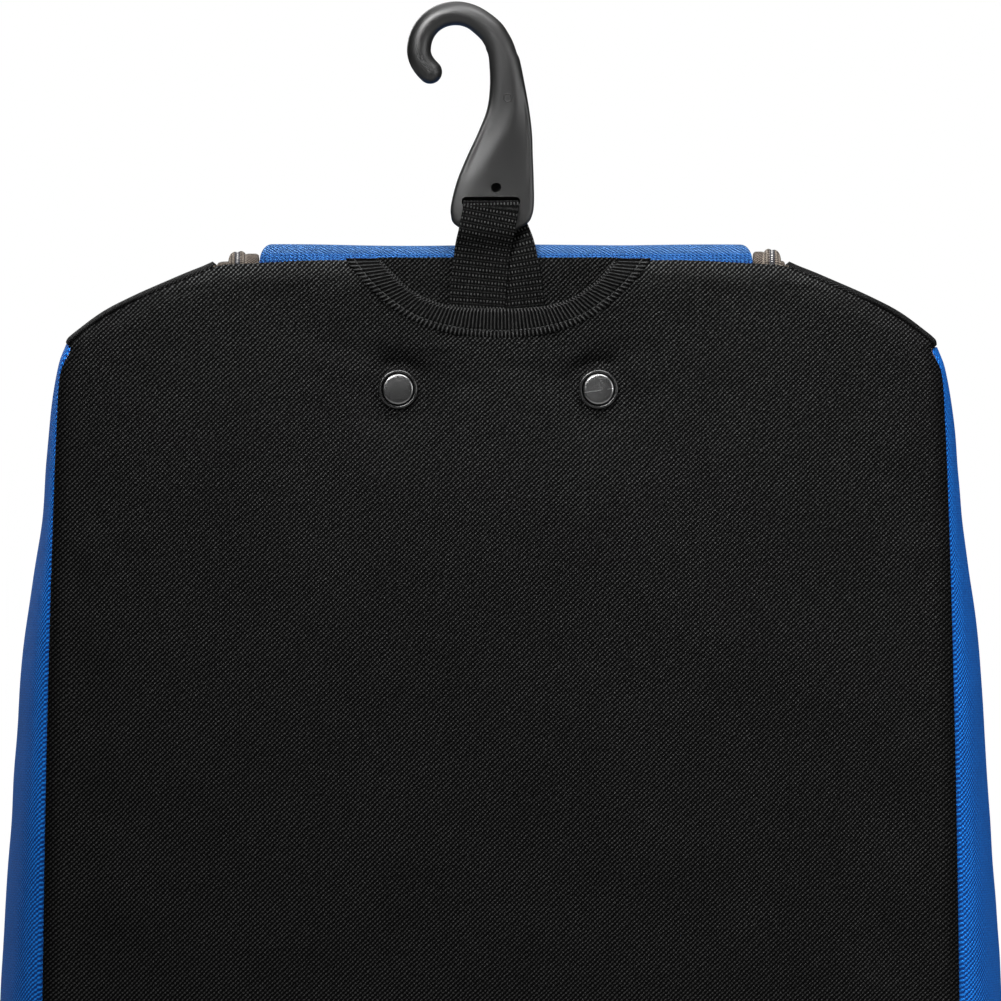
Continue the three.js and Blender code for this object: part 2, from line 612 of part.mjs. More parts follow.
// Zip slider at the back end, with its pull lying along the chain
function zipSlider() {
  const outline = new THREE.Shape();
  const { half, length, pull, pullHalf } = SLIDER;
  outline.moveTo(-half * 0.6, 0);
  outline.lineTo(half * 0.6, 0);
  outline.lineTo(half, -length * 0.6);
  outline.lineTo(half * 0.7, -length);
  outline.lineTo(-half * 0.7, -length);
  outline.lineTo(-half, -length * 0.6);
  const body = prismSolid(outline, 0, SLIDER.thick);
  const tab = new THREE.Shape();
  tab.moveTo(-pullHalf, -length * 0.4);
  tab.lineTo(pullHalf, -length * 0.4);
  tab.lineTo(pullHalf, -pull);
  tab.absarc(0, -pull, pullHalf, 0, -Math.PI, true);
  const lift = SLIDER.thick - 0.4;
  return geometryOfSolid(body.add(prismSolid(tab, lift, lift + SLIDER.pullThick)));
}

// Plan of the cloth at the rim of the base tub, moved outwards by a given amount
function tubPlan(outwards) {
  const half = panelHalf(TUB.top);
  const quarter = [];
  for (const share of [1, 0.5, 0.2, 0]) {
    const rise = HALF_DEPTH + CLOTH + PANEL_ROLL * quarterRound(share);
    quarter.push([half - share * PANEL_ROLL_WIDTH + outwards * (1 - share), rise + outwards]);
  }
  for (const share of GUSSET_COLUMNS.slice().reverse()) {
    const bulge = gussetBulge(TUB.top) * (1 - share ** GUSSET_FULLNESS);
    quarter.push([half + bulge + outwards, share * HALF_DEPTH]);
  }
  const back = quarter.slice(0, -1).reverse();
  const right = [...quarter.map(([x, y]) => [x, -y]), ...back];
  const left = right.map(([x, y]) => [-x, -y]);
  return new THREE.Shape([...right, ...left].map(([x, y]) => new THREE.Vector2(x, y)));
}

// Side profile of the tub, cut back under the wheels so that the tilted bag rolls freely
function tubProfile(inwards) {
  const reach = HALF_DEPTH + CLOTH + PANEL_ROLL + TUB.wall + 4;
  const { bottom, chamfer } = TUB;
  const low = bottom + inwards;
  const profile = new THREE.Shape();
  profile.moveTo(-reach, TUB.top + 5);
  profile.lineTo(-reach, low + 12);
  profile.lineTo(-reach + 16, low);
  profile.lineTo(reach - chamfer - 4, low);
  profile.lineTo(reach, low + chamfer);
  profile.lineTo(reach, TUB.top + 5);
  const slab = new THREE.ExtrudeGeometry(profile, { depth: 520, bevelEnabled: false });
  return solidOf(slab.rotateX(Math.PI / 2).rotateZ(Math.PI / 2).translate(-260, 0, 0));
}

function baseTub() {
  const { wall: thick, ease, bottom, top } = TUB;
  const outside = prismSolid(tubPlan(ease + thick), bottom, top).intersect(tubProfile(0));
  const hollow = prismSolid(tubPlan(ease), bottom, top + 1).intersect(tubProfile(thick));
  let tub = outside.subtract(hollow);
  const far = HALF_DEPTH + CLOTH + PANEL_ROLL + ease;
  for (const side of [-1, 1]) {
    const x = side * WHEEL.x;
    const [inside, shell] = [WELL.half, WELL.half + thick];
    const lining = boxSolid(x - shell, x + shell, WELL.front - thick, far + 1, bottom, WELL.height + thick);
    tub = tub.add(lining.intersect(outside));
    tub = tub.subtract(boxSolid(x - inside, x + inside, WELL.front, far + 40, -1, WELL.height));
  }
  return geometryOfSolid(tub);
}

// Wheels turn about X on their axles
const WHEEL_Y = HALF_DEPTH + CLOTH + PANEL_ROLL + TUB.ease + TUB.wall + WHEEL.proud - WHEEL.radius;
const hubRadius = WHEEL.radius - WHEEL.tyre;

function wheelTyre() {
  const { radius, half, groove } = WHEEL;
  const seat = hubRadius + GAP;
  const tread = [[seat, -half], [radius - 5, -half], [radius - 1.2, -half + 3], [radius, -groove]];
  const closing = [[radius, groove], [radius - 1.2, half - 3], [radius - 5, half], [seat, half], [seat, -half]];
  return turned([...tread, ...closing], 20).rotateZ(-Math.PI / 2);
}

function wheelHub() {
  const bore = AXLE.radius + AXLE.clear;
  const { half } = WHEEL;
  const boss = half + 3;
  const near = [[bore, -boss], [bore + 6, -boss], [bore + 7, -half + 4], [hubRadius - 4, -half + 4]];
  const rim = [[hubRadius - 3, -half], [hubRadius, -half], [hubRadius, half], [hubRadius - 3, half]];
  const far = [[hubRadius - 4, half - 4], [bore + 7, half - 4], [bore + 6, boss], [bore, boss], [bore, -boss]];
  return turned([...near, ...rim, ...far], 20).rotateZ(-Math.PI / 2);
}

function axlePin() {
  const length = 2 * (WELL.half - GAP);
  return new THREE.CylinderGeometry(AXLE.radius, AXLE.radius, length, 16).rotateZ(Math.PI / 2);
}

// Foot under the front of the tub
function restingFoot() {
  const { length, width, bevel } = FOOT;
  const outline = new THREE.Shape();
  const [halfLong, halfWide] = [(length - width) / 2, width / 2 - bevel];
  outline.absarc(-halfLong, 0, halfWide, Math.PI / 2, (3 * Math.PI) / 2);
  outline.absarc(halfLong, 0, halfWide, -Math.PI / 2, Math.PI / 2);
  const height = TUB.bottom - GAP;
  const options = { bevelSize: bevel, bevelThickness: bevel, bevelSegments: 1, curveSegments: 4 };
  return new THREE.ExtrudeGeometry(outline, { ...options, depth: height - 2 * bevel }).translate(0, 0, bevel);
}

// Assembly
const bag = new THREE.Group();

function add(name, geometry, finish, position = new THREE.Vector3()) {
  const mesh = new THREE.Mesh(geometry, finish);
  mesh.name = name;
  mesh.position.copy(position);
  bag.add(mesh);
  return mesh;
}

add("front_panel", frontPanel(), BLACK_CLOTH);
add("back_panel", backPanel(), BLACK_CLOTH);
add("hook_pocket", hookPocket(), BLACK_CLOTH);
add("pocket_binding", pocketBinding(), BLACK_TAPE);
add("hook_strap", hookStrap(), BLACK_WEBBING);
add("bag_hook", bagHook(), HOOK_PLASTIC);
add("top_lid", topLid(), BLUE_CLOTH);
add("base_tub", baseTub(), TUB_PLASTIC);

for (const [side, word] of [[-1, "left"], [1, "right"]]) {
  add(`side_gusset_${word}`, sideGusset(side), BLUE_CLOTH);
  add(`shoulder_strip_${word}`, shoulderStrip(side), BLACK_CLOTH);
  add(`top_zip_${word}`, topZip(side), ZIP_CLOTH);
  const chainTop = ZIP.tapeZ + ZIP.tape + ZIP_RISE.run + GAP;
  const sliderPlace = new THREE.Vector3(side * chainMiddle(side), SLIDER.y, chainTop);
  add(`zip_slider_${word}`, zipSlider(), SLIDER_METAL, sliderPlace);

  const seat = studSeat(side);
  add(`stud_ring_${word}`, studRing(), STUD_DARK, seat).rotation.x = Math.PI;
  add(`stud_cap_${word}`, studCap(), STUD_METAL, seat).rotation.x = Math.PI;

  const hub = new THREE.Vector3(side * WHEEL.x, WHEEL_Y, WHEEL.radius);
  add(`wheel_axle_${word}`, axlePin(), AXLE_STEEL, hub);
  add(`wheel_hub_${word}`, wheelHub(), HUB_PLASTIC, hub);
  add(`wheel_tyre_${word}`, wheelTyre(), TYRE_RUBBER, hub);
  add(`base_foot_${word}`, restingFoot(), FOOT_RUBBER, new THREE.Vector3(side * FOOT.x, FOOT.y, 0));
}

export default bag;
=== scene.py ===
"""A wheeled kit bag seen from the front: cloth, webbing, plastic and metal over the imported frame."""
import math
from types import SimpleNamespace as Sizes

import bpy
import numpy as np
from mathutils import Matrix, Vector


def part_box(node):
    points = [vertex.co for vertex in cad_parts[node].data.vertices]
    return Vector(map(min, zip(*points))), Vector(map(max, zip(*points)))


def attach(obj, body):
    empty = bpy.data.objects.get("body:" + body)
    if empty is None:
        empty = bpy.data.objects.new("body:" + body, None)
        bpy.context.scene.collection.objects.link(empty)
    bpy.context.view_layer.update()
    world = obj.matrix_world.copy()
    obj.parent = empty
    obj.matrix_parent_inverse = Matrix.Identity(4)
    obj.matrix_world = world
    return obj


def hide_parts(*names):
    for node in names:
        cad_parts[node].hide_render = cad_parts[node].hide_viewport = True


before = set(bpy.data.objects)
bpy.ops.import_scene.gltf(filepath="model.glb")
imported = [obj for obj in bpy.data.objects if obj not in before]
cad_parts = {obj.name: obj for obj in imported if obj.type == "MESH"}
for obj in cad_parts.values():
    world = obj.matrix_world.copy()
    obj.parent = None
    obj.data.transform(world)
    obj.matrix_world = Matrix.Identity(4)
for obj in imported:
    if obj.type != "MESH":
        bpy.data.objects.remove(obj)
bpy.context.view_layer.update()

# Sizes in millimetres
MM = 0.001
GAP = 0.3

# Panels
PANEL_TOP = 889.0
TOP_LIFT = Sizes(by=2.2, reach=135.0, over=58.0, start=840.0)
CLOTH_BOTTOM = 88.0
HALF_DEPTH = 140.0
CLOTH = 2.5
PANEL_PAD = 6.0
PANEL_ROLL = 7.0
ROLL_WIDTH = 12.0
PANEL_CROWN = 6.0
CROWN_FADE = 140.0
CROWN_BOTTOM = 108.0
SEAM_SHOW = Sizes(by=0.5, low=835.0, over=20.0)
CLOTH_STEPS = 20

# Gussets
GUSSET_FULLNESS = 4
GUSSET = Sizes(top=850.0, seam=22.0, crisp=0.35, crisp_over=110.0, left_rise=0.95)
GUSSET_SQUARING = Sizes(low=760.0, over=80.0, by=6.0)
GUSSET_SLIMMING = Sizes(low=700.0, over=110.0)
GUSSET_LIFT = Sizes(low=800.0, over=50.0)

# Height, half-width of the panels and bulge of the gusset past them
SIDES = np.array([
    (0, 203, 18), (88, 205, 20), (250, 207.5, 25), (400, 208, 26), (558, 206.5, 21), (652, 205, 16.5),
    (720, 203.4, 13.5), (774, 201.8, 8.5), (819, 200, 6), (841, 198.3, 3.6), (850, 194.3, 4.2),
])

# Shoulders and the strips over them
SHOULDER_TOP = np.array([130.0, 890.5])
SHOULDER_LOW = np.array([196.2, 855.2])
SHOULDER_RISE = 3.4
SHOULDER_FULL = Sizes(top=0.35, more=1.2)
SHOULDER_TUCK = 2.6
SHOULDER_ROLL = 11.0
STRIP = Sizes(end=1.0175, end_right=0.0065, curl=1.1, curl_right=0.3, turn=0.035, length=77.0)

# Pocket mouth, its binding, the webbing and the studs
MOUTH = Sizes(x=-1.2, half=54.5, bottom=867.6, top=891.5, power=3.2)
BINDING = Sizes(width=12.2, inside=9.0, thick=0.8, fold=1.2, band=3.4, lip=1.2)
POCKET = Sizes(half=66.0, bottom=770.0, depth=13.0, wall=2.0, corner=14.0, clear=0.9)
WEBBING = Sizes(width=25.0, thick=1.8, sewn=800.0, over=917.2, bend=3.0, stand=4.6)
STUD = Sizes(x=45.1, z=832.8, ring=8.8, cap=6.95)
DIMPLE = Sizes(depth=3.2, flat=8.9, reach=9.5, below=4.5)
FOLD = Sizes(depth=3.6, rise=12.0, out=2.0, lean=0.25, half_x=21.0, half_z=6.5)

# Lid and zips
LID = Sizes(x=2.3, half=111.0, front=-139.6, back=139.6, bottom=889.3, thick=8.7, round=5.2)
LID_FRONT = Sizes(hem=0.12, soft=86.0, over=30.0, dense=42.0)
ZIP = Sizes(x=120.4, shift=1.7, outer=129.6, tape_z=887.4, tape=1.3, chain=4.2, loop=2.8, end=9.0, fall=7.0)
ZIP_RISE = Sizes(run=2.8, front=6.3, low=95.0, over=25.0, right=0.14)
WELT_RISE = Sizes(run=2.0, front=5.3)
TAPE_RISE = Sizes(run=0.9, front=1.8)
SLIDER = Sizes(y=108.0, half=4.0, length=15.0, thick=3.6, pull=26.0, pull_half=3.0)

# Hook
HOOK_Y = -133.0
HOOK_BEND = Sizes(x=-18.7, z=984.5, radius=17.8, rod=5.4, first=180.0, last=20.0, widen=0.6)
HOOK_LEAN = Sizes(by=1.7, low=18.0, over=35.0, high=215.0, high_over=110.0)
HOOK_END = np.array([(-31.9, 975.9), (-34.2, 978.4), (-36.0, 981.3)])
HOOK_SLOT = Sizes(x=-4.5, half=12.6, bottom=915.8, top=918.9)
HOOK_RIDGE = Sizes(high=962.0, low=926.0, right=0.32, left=-0.5, rim=0.72)
HOOK_DISH = Sizes(depth=0.6, flank=0.6)
HOOK_HOLE = Sizes(x=-2.2, z=923.7)
HOOK_MARK = Sizes(x=3.1, z=964.2, radius=1.8, wire=0.3)

# The hook's shank: centre x, centre z, half-width, half-thickness, dish of the face
SHANK = np.array([
    (0.35, 985.0, 6.65, 5.3, 0.0), (1.6, 980.9, 7.0, 5.2, 0.0), (2.9, 970.1, 7.9, 4.9, 0.3),
    (3.2, 959.3, 9.5, 4.6, 0.8),
    (1.8, 948.5, 12.2, 4.3, 1.2), (-0.5, 937.7, 14.9, 4.0, 1.2), (-2.5, 926.9, 17.3, 3.7, 0.8),
    (-3.8, 916.1, 18.7, 3.4, 0.3), (-4.3, 910.7, 18.2, 3.3, 0.0), (-4.7, 907.6, 16.6, 3.1, 0.0),
    (-5.0, 904.9, 12.6, 2.2, 0.0),
])

# Tub, wheels and feet
TUB = Sizes(bottom=10.0, top=104.0, wall=3.0, ease=0.6)
TUB_FLOOR = Sizes(front=12.0, front_run=16.0, back=30.0, back_run=34.0)
WELL = Sizes(half=20.0, height=80.0, front=74.0)
WHEEL = Sizes(x=168.0, y=119.5, radius=36.0, half=13.5, tyre=9.0)
AXLE = Sizes(radius=5.0, clear=0.3)
TREAD = Sizes(blocks=36, depth=1.3, sharp=6)
HUB = Sizes(boss=3.0, spokes=5, web=4.2)
FOOT = Sizes(x=150.0, y=-104.0, length=70.0, width=26.0)

# The cloth has closer rows above this height, the lowest in the photograph
DETAIL_FROM = 560.0

# Stitches: how many, half the length of one and the radius of the thread
BINDING_STITCHES = Sizes(count=64, reach=1.07, half=0.36, radius=0.3, sunk=0.25)
CORNER_STITCHES = Sizes(count=5, top=851.0, pitch=1.1, half=0.38, radius=0.32)

# Radius and height round the edge of the floor
FLOOR_EDGE = [(20.0, -12.0), (2180.0, -12.0), (2200.0, -10.0), (2200.0, -2.0), (2192.0, 0.0), (20.0, 0.0)]

# Lights in metres: name, place, target, width and height, power, and the angle they spread over
LIGHTS = (
    ("key", (-0.45, -1.4, 1.6), (0.08, -0.14, 0.99), (0.5, 0.4), 1.8, 60.0),
    ("right", (1.0, -0.9, 1.0), (0.0, -0.1, 0.8), (0.5, 0.7), 8.0, 180.0),
    ("top", (0.4, -0.8, 2.2), (0.05, -0.1, 0.9), (1.0, 0.6), 30.0, 180.0),
    ("hook", (-0.5, -1.3, 1.75), (-0.01, -0.133, 1.32), (0.7, 0.5), 6.0, 50.0),
    ("rear", (-0.9, 2.4, 2.0), (0.0, -0.1, 0.8), (1.6, 1.6), 50.0, 180.0),
    ("ceiling", (0.0, 0.2, 3.4), (0.0, 0.2, 0.0), (3.6, 3.6), 90.0, 180.0),
)
AMBIENT = 0.04

# The photograph: square, 1001 pixels a side, at 0.45 mm a pixel on the front panel
IMAGE = 1001
PIXEL = 0.45
VIEW = Sizes(x=-0.2, z=782.7, plane=-149.5, away=10000.0, sensor=36.0)


# Small maths on arrays

def clamp01(value):
    return np.clip(value, 0.0, 1.0)


def smooth(value):
    share = clamp01(value)
    return share * share * (3 - 2 * share)


def eased(value, span):
    """0 below the low end of a span, 1 past the other end, smooth between."""
    return smooth((value - span.low) / span.over)


def bell(value, width):
    """1 at 0, falling away smoothly on both sides."""
    return np.exp(-((value / width) ** 2))


def quarter_round(value):
    return np.sqrt(1 - (1 - clamp01(value)) ** 2)


def unit(vectors):
    return vectors / np.linalg.norm(vectors, axis=-1, keepdims=True)


def turn_angles(count):
    """The angles of count points round a circle."""
    return np.arange(count) * 2 * math.pi / count


def rounded(angles, half_wide, half_tall, corner):
    """Points round a rectangle with rounded corners, about its middle."""
    wide = np.sign(np.cos(angles)) * (half_wide - corner) + corner * np.cos(angles)
    tall = np.sign(np.sin(angles)) * (half_tall - corner) + corner * np.sin(angles)
    return wide, tall


def run_length(points):
    """The distance along a line of points from its start."""
    return np.concatenate([[0], np.cumsum(np.linalg.norm(np.diff(points, axis=0), axis=1))])


def at_lengths(points, places):
    """The points at given distances along a line of points."""
    length = run_length(points)
    return np.stack([np.interp(places, length, column) for column in points.T], 1)


def ripple(u, v, length, count, seed):
    """Soft waves over a surface, about 1 high, from a few seeded directions and lengths."""
    draw = np.random.default_rng(seed)
    total = np.zeros(np.broadcast(u, v).shape)
    for _ in range(count):
        turn = draw.uniform(0, 2 * math.pi)
        size = length * draw.uniform(0.7, 1.6)
        phase = draw.uniform(0, 2 * math.pi)
        total += np.sin((u * math.cos(turn) + v * math.sin(turn)) * 2 * math.pi / size + phase)
    return total / math.sqrt(count)


def cubic_weights(places, count):
    """Rows of weights that read a list of count values at fractional places, smoothly."""
    weights = np.zeros((len(places), count))
    base = np.clip(np.floor(places).astype(int), 0, count - 2)
    t = places - base
    parts = [-t + 2 * t**2 - t**3, 2 - 5 * t**2 + 3 * t**3, t + 4 * t**2 - 3 * t**3, -t**2 + t**3]
    for offset, part in zip((-1, 0, 1, 2), parts):
        np.add.at(weights, (np.arange(len(places)), np.clip(base + offset, 0, count - 1)), part / 2)
    return weights


def resampled(rows, steps):
    """A table of rows with steps smooth steps between each pair."""
    places = np.linspace(0, len(rows) - 1, (len(rows) - 1) * steps + 1)
    return cubic_weights(places, len(rows)) @ rows


# Shapes of the body

def section_value(column, z):
    """A column of the table of sides at a height, smooth between its rows."""
    heights, values = SIDES[:, 0], SIDES[:, column]
    level = np.clip(z, heights[0], heights[-1])
    i = np.clip(np.searchsorted(heights, level), 1, len(heights) - 1)
    before = np.maximum(i - 2, 0)
    after = np.minimum(i + 1, len(heights) - 1)
    span = heights[i] - heights[i - 1]
    t = (level - heights[i - 1]) / span
    start = (values[i] - values[before]) / (heights[i] - heights[before]) * span
    end = (values[after] - values[i - 1]) / (heights[after] - heights[i - 1]) * span
    rise = values[i] - values[i - 1]
    return values[i - 1] + t * start + t**2 * (3 * rise - 2 * start - end) + t**3 * (start + end - 2 * rise)


def panel_half(z):
    return section_value(1, z)


def gusset_bulge(z):
    return section_value(2, z)


def shoulder_bulge(share):
    """How far the shoulder stands out from the straight line between its ends, fuller towards the side."""
    return 4 * SHOULDER_RISE * share * (1 - share) * (SHOULDER_FULL.top + SHOULDER_FULL.more * share)


def shoulder_point(share, inwards):
    """x and z on the line of the shoulder, 0 at the top zip and 1 at the side, moved inwards."""
    share = np.asarray(share, float)
    chord = SHOULDER_LOW - SHOULDER_TOP
    across = np.array([-chord[1], chord[0]]) / np.hypot(*chord)
    top, more = SHOULDER_FULL.top, SHOULDER_FULL.more
    slope = 4 * SHOULDER_RISE * (top + 2 * (more - top) * share - 3 * more * share**2)
    along = chord + np.multiply.outer(slope, across)
    normal = unit(np.stack([-along[..., 1], along[..., 0]], -1))
    point = SHOULDER_TOP + np.multiply.outer(share, chord)
    point = point + np.multiply.outer(shoulder_bulge(share), across)
    return point - normal * np.asarray(inwards, float)[..., None]


def edge_distance(x, z):
    """Distance of a point of a panel from its edge on the sides, the shoulders and the top."""
    low = shoulder_point(1.0, SHOULDER_TUCK)
    top = shoulder_point(0.0, SHOULDER_TUCK)
    chord = top - low
    away_x, away_z = np.abs(x) - low[0], z - low[1]
    share = clamp01((away_x * chord[0] + away_z * chord[1]) / (chord @ chord))
    slant = (away_x * chord[1] - away_z * chord[0]) / np.hypot(*chord)
    shoulder = shoulder_bulge(1 - share) - slant
    side = panel_half(np.minimum(z, low[1])) - np.abs(x)
    return np.maximum(0, np.minimum(np.minimum(side, shoulder), PANEL_TOP - z))


def panel_rise(x, z):
    """How far a panel stands out at a point: its cloth, its rolled edge and its crown."""
    fade = smooth((PANEL_TOP - z) / CROWN_FADE) * smooth((z - CROWN_BOTTOM) / CROWN_FADE)
    crown = PANEL_CROWN * fade * (1 - (x / panel_half(z)) ** 2)
    return CLOTH + PANEL_ROLL * quarter_round(edge_distance(x, z) / ROLL_WIDTH) + crown


def panel_top(x):
    """Height of the front panel's top edge, which stands up a little in the middle."""
    return PANEL_TOP + TOP_LIFT.by * smooth((TOP_LIFT.reach - np.abs(x)) / TOP_LIFT.over)


def lowered(x, z):
    """The height that a point of the front panel would have with a level top edge."""
    start = TOP_LIFT.start
    return z - (panel_top(x) - PANEL_TOP) * smooth((z - start) / (PANEL_TOP - start))


def stud_pull(x, z):
    """How far the studs pull the front panel in, with the fold above each."""
    pull = np.zeros(np.broadcast(x, z).shape)
    for side in (-1, 1):
        across = x - side * STUD.x - MOUTH.x
        up = z - STUD.z
        away = np.hypot(across, up)
        below = DIMPLE.below * smooth(0.5 - up / np.maximum(2 * away, 1))
        pull += DIMPLE.depth * smooth(1 - (away - DIMPLE.flat - below) / (DIMPLE.reach + below))
        outwards = side * across - FOLD.out
        over = up - FOLD.rise - FOLD.lean * outwards
        fold = (outwards / FOLD.half_x) ** 2 + (over / FOLD.half_z) ** 2
        pull += FOLD.depth * np.exp(-fold) * smooth((away - STUD.ring) / 3.5)
    return pull


def stud_distance(x, z):
    """Distance of a point of the front panel from the middle of the nearer stud."""
    return np.hypot(np.abs(x - MOUTH.x) - STUD.x, z - STUD.z)


def front_face(x, z):
    return -HALF_DEPTH - panel_rise(x, lowered(x, z)) + stud_pull(x, z)


def panel_thick(x, z):
    return CLOTH + (PANEL_PAD - CLOTH) * clamp01(edge_distance(x, z) / ROLL_WIDTH)


def front_inside(x, z):
    return front_face(x, z) + panel_thick(x, lowered(x, z))


def mouth_height(x):
    """Height of the scooped mouth of the pocket."""
    share = np.abs(x - MOUTH.x) / MOUTH.half
    return MOUTH.bottom + (MOUTH.top - MOUTH.bottom) * share ** MOUTH.power


def pocket_level(x, z):
    """y of the pocket's inner layer, clear of the front panel."""
    from_side = POCKET.half - np.abs(x - MOUTH.x)
    pouch = quarter_round(np.minimum(from_side, z - POCKET.bottom) / POCKET.corner)
    pouched = front_inside(x, np.minimum(z, panel_top(x) - ROLL_WIDTH)) + POCKET.depth * pouch
    return POCKET.clear + np.maximum(pouched, front_inside(x, np.minimum(z, panel_top(x))))


# Meshes

def crossed(rows, columns):
    """The row value and the column value at each point of a grid."""
    return np.meshgrid(rows, columns, indexing="ij")


def stacked(x, y, z):
    return np.stack(np.broadcast_arrays(x, y, z), -1).astype(float)


def signed_volume(points, faces):
    total = 0.0
    for first, second in ((1, 2), (2, 3)):
        a, b, c = points[faces[:, 0]], points[faces[:, first]], points[faces[:, second]]
        total += np.einsum("ij,ij->", a, np.cross(b, c))
    return total


def piece_of(name, points, faces, cloth=None, sharp=50):
    """A smooth-shaded mesh object from points and cloth coordinates in millimetres.

    A face that names a point twice is a triangle.
    """
    mesh = bpy.data.meshes.new(name)
    mesh.from_pydata((points * MM).tolist(), [], [tuple(dict.fromkeys(face)) for face in faces.tolist()])
    mesh.shade_smooth()
    mesh.set_sharp_from_angle(angle=math.radians(sharp))
    if cloth is not None:
        layer = mesh.attributes.new("cloth", "FLOAT_VECTOR", "POINT")
        layer.data.foreach_set("vector", cloth.astype(np.float32).ravel())
    mesh.update()
    piece = bpy.data.objects.new(name, mesh)
    bpy.context.scene.collection.objects.link(piece)
    return piece


def grid_faces(rows, columns):
    r, c = crossed(np.arange(rows - 1), np.arange(columns - 1))
    corner = (r * columns + c).ravel()
    return np.stack([corner, corner + 1, corner + columns + 1, corner + columns], 1)


def cloth_wall(name, outer, inner, cloth, sharp=50):
    """A closed wall of cloth between a grid of outer points and a grid of inner ones."""
    rows, columns = outer.shape[:2]
    count = rows * columns
    points = np.concatenate([outer.reshape(-1, 3), inner.reshape(-1, 3)])
    front = grid_faces(rows, columns)
    at = np.arange(count).reshape(rows, columns)
    rim = np.concatenate([at[0, :-1], at[:-1, -1], at[-1, :0:-1], at[:0:-1, 0]])
    after = np.roll(rim, -1)
    edge = np.stack([after, rim, rim + count, after + count], 1)
    faces = np.concatenate([front, front[:, ::-1] + count, edge])
    if signed_volume(points, faces) < 0:
        faces = faces[:, ::-1]
    return piece_of(name, points, faces, np.concatenate([cloth.reshape(-1, 3)] * 2), sharp)


def ring_faces(rings, sides):
    r, s = crossed(np.arange(rings - 1), np.arange(sides))
    a = (r * sides + s).ravel()
    b = (r * sides + (s + 1) % sides).ravel()
    return np.stack([a, b, b + sides, a + sides], 1)


def capped(values, sides):
    """Values at the points of rings, with the means of the first and the last ring added for the caps."""
    return np.concatenate([values, [values[:sides].mean(0), values[-sides:].mean(0)]])


def loft(name, rings, cloth=None, joined=False, sharp=50):
    """A solid through rings of points: capped at both ends, or joined from the last ring to the first."""
    count, sides = rings.shape[:2]
    points = rings.reshape(-1, 3)
    if joined:
        faces = ring_faces(count + 1, sides) % len(points)
    else:
        end = len(points)
        start = end - sides
        side = np.arange(sides)
        after = (side + 1) % sides
        near, far = np.full(sides, end), np.full(sides, end + 1)
        caps = [np.stack([near, after, side, near], 1), np.stack([far, start + side, start + after, far], 1)]
        faces = np.concatenate([ring_faces(count, sides), *caps])
        points = capped(points, sides)
        if cloth is not None:
            cloth = capped(cloth.reshape(-1, 3), sides)
    if signed_volume(points, faces) < 0:
        faces = faces[:, ::-1]
    return piece_of(name, points, faces, cloth, sharp)


def turned(name, profile, sides, place, turn):
    """A solid of revolution from radius and height pairs, turned and moved to its place."""
    angles = turn_angles(sides)
    radius, height = np.array(profile, float).T
    local = stacked(np.outer(radius, np.cos(angles)), np.outer(radius, np.sin(angles)), height[:, None])
    return loft(name, local @ np.array(turn, float).T + np.array(place, float), local, sharp=40)


def dressed(piece, material, slot, *nodes, body="bag"):
    """Gives a piece its material and lets it stand for its solids. The slot is not used."""
    piece.data.materials.clear()
    piece.data.materials.append(material)
    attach(piece, body)
    if nodes:
        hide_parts(*nodes)
    return piece


def carved(piece, cutter, operation="DIFFERENCE"):
    """Applies a boolean of one piece with another, which is then removed."""
    modifier = piece.modifiers.new("carve", "BOOLEAN")
    modifier.operation = operation
    modifier.object = cutter
    modifier.solver = "EXACT"
    graph = bpy.context.evaluated_depsgraph_get()
    mesh = bpy.data.meshes.new_from_object(piece.evaluated_get(graph))
    piece.modifiers.clear()
    piece.data = mesh
    bpy.data.objects.remove(cutter)
    return piece


def settled(grid, held, growth, push, limit):
    """How far each point of a grid of cloth moves in a short cloth simulation, in millimetres.

    held is 1 where the cloth is sewn down, growth is the spare cloth, push the pressure of the padding.
    """
    rows, columns = grid.shape[:2]
    sheet = piece_of("settling", grid.reshape(-1, 3), grid_faces(rows, columns))
    group = sheet.vertex_groups.new(name="held")
    group.add(np.flatnonzero(held.ravel() > 0.5).tolist(), 1.0, "REPLACE")
    modifier = sheet.modifiers.new("cloth", "CLOTH")
    cloth = modifier.settings
    cloth.vertex_group_mass = "held"
    cloth.shrink_min = -growth
    cloth.use_pressure = True
    cloth.uniform_pressure_force = push
    cloth.effector_weights.gravity = 0.0
    cloth.bending_stiffness = 2.0
    cloth.air_damping = 4.0
    scene = bpy.context.scene
    for step in range(1, CLOTH_STEPS + 1):
        scene.frame_set(step)
    shape = sheet.evaluated_get(bpy.context.evaluated_depsgraph_get()).data
    moved = np.zeros(rows * columns * 3)
    shape.vertices.foreach_get("co", moved)
    scene.frame_set(1)
    bpy.data.objects.remove(sheet)
    shift = moved.reshape(rows, columns, 3) / MM - grid
    size = np.linalg.norm(shift, axis=-1, keepdims=True)
    return shift * limit * np.tanh(size / limit) / np.maximum(size, 1e-9)


# Materials

class Value:
    """A number or colour that varies over a surface."""

    def __init__(self, surface, socket):
        self.surface = surface
        self.socket = socket

    def __add__(self, other):
        return self.surface.math("ADD", self, other)

    def __sub__(self, other):
        return self.surface.math("SUBTRACT", self, other)

    def __mul__(self, other):
        return self.surface.math("MULTIPLY", self, other)

    def __abs__(self):
        return self.surface.math("ABSOLUTE", self)

    def wave(self, pitch, shift=0.0):
        """A cosine of a coordinate in millimetres, once every pitch."""
        return self.surface.math("COSINE", self * (2 * math.pi / pitch) + shift)

    def step(self, low, high):
        """0 at low, 1 at high, eased between."""
        ends = {0: self, 1: low, 2: high}
        return self.surface.node("ShaderNodeMapRange", ends, interpolation_type="SMOOTHSTEP")

    def spread(self, low, high):
        """A value from 0 to 1 spread from low to high."""
        return self.surface.node("ShaderNodeMapRange", {0: self, 3: low, 4: high})


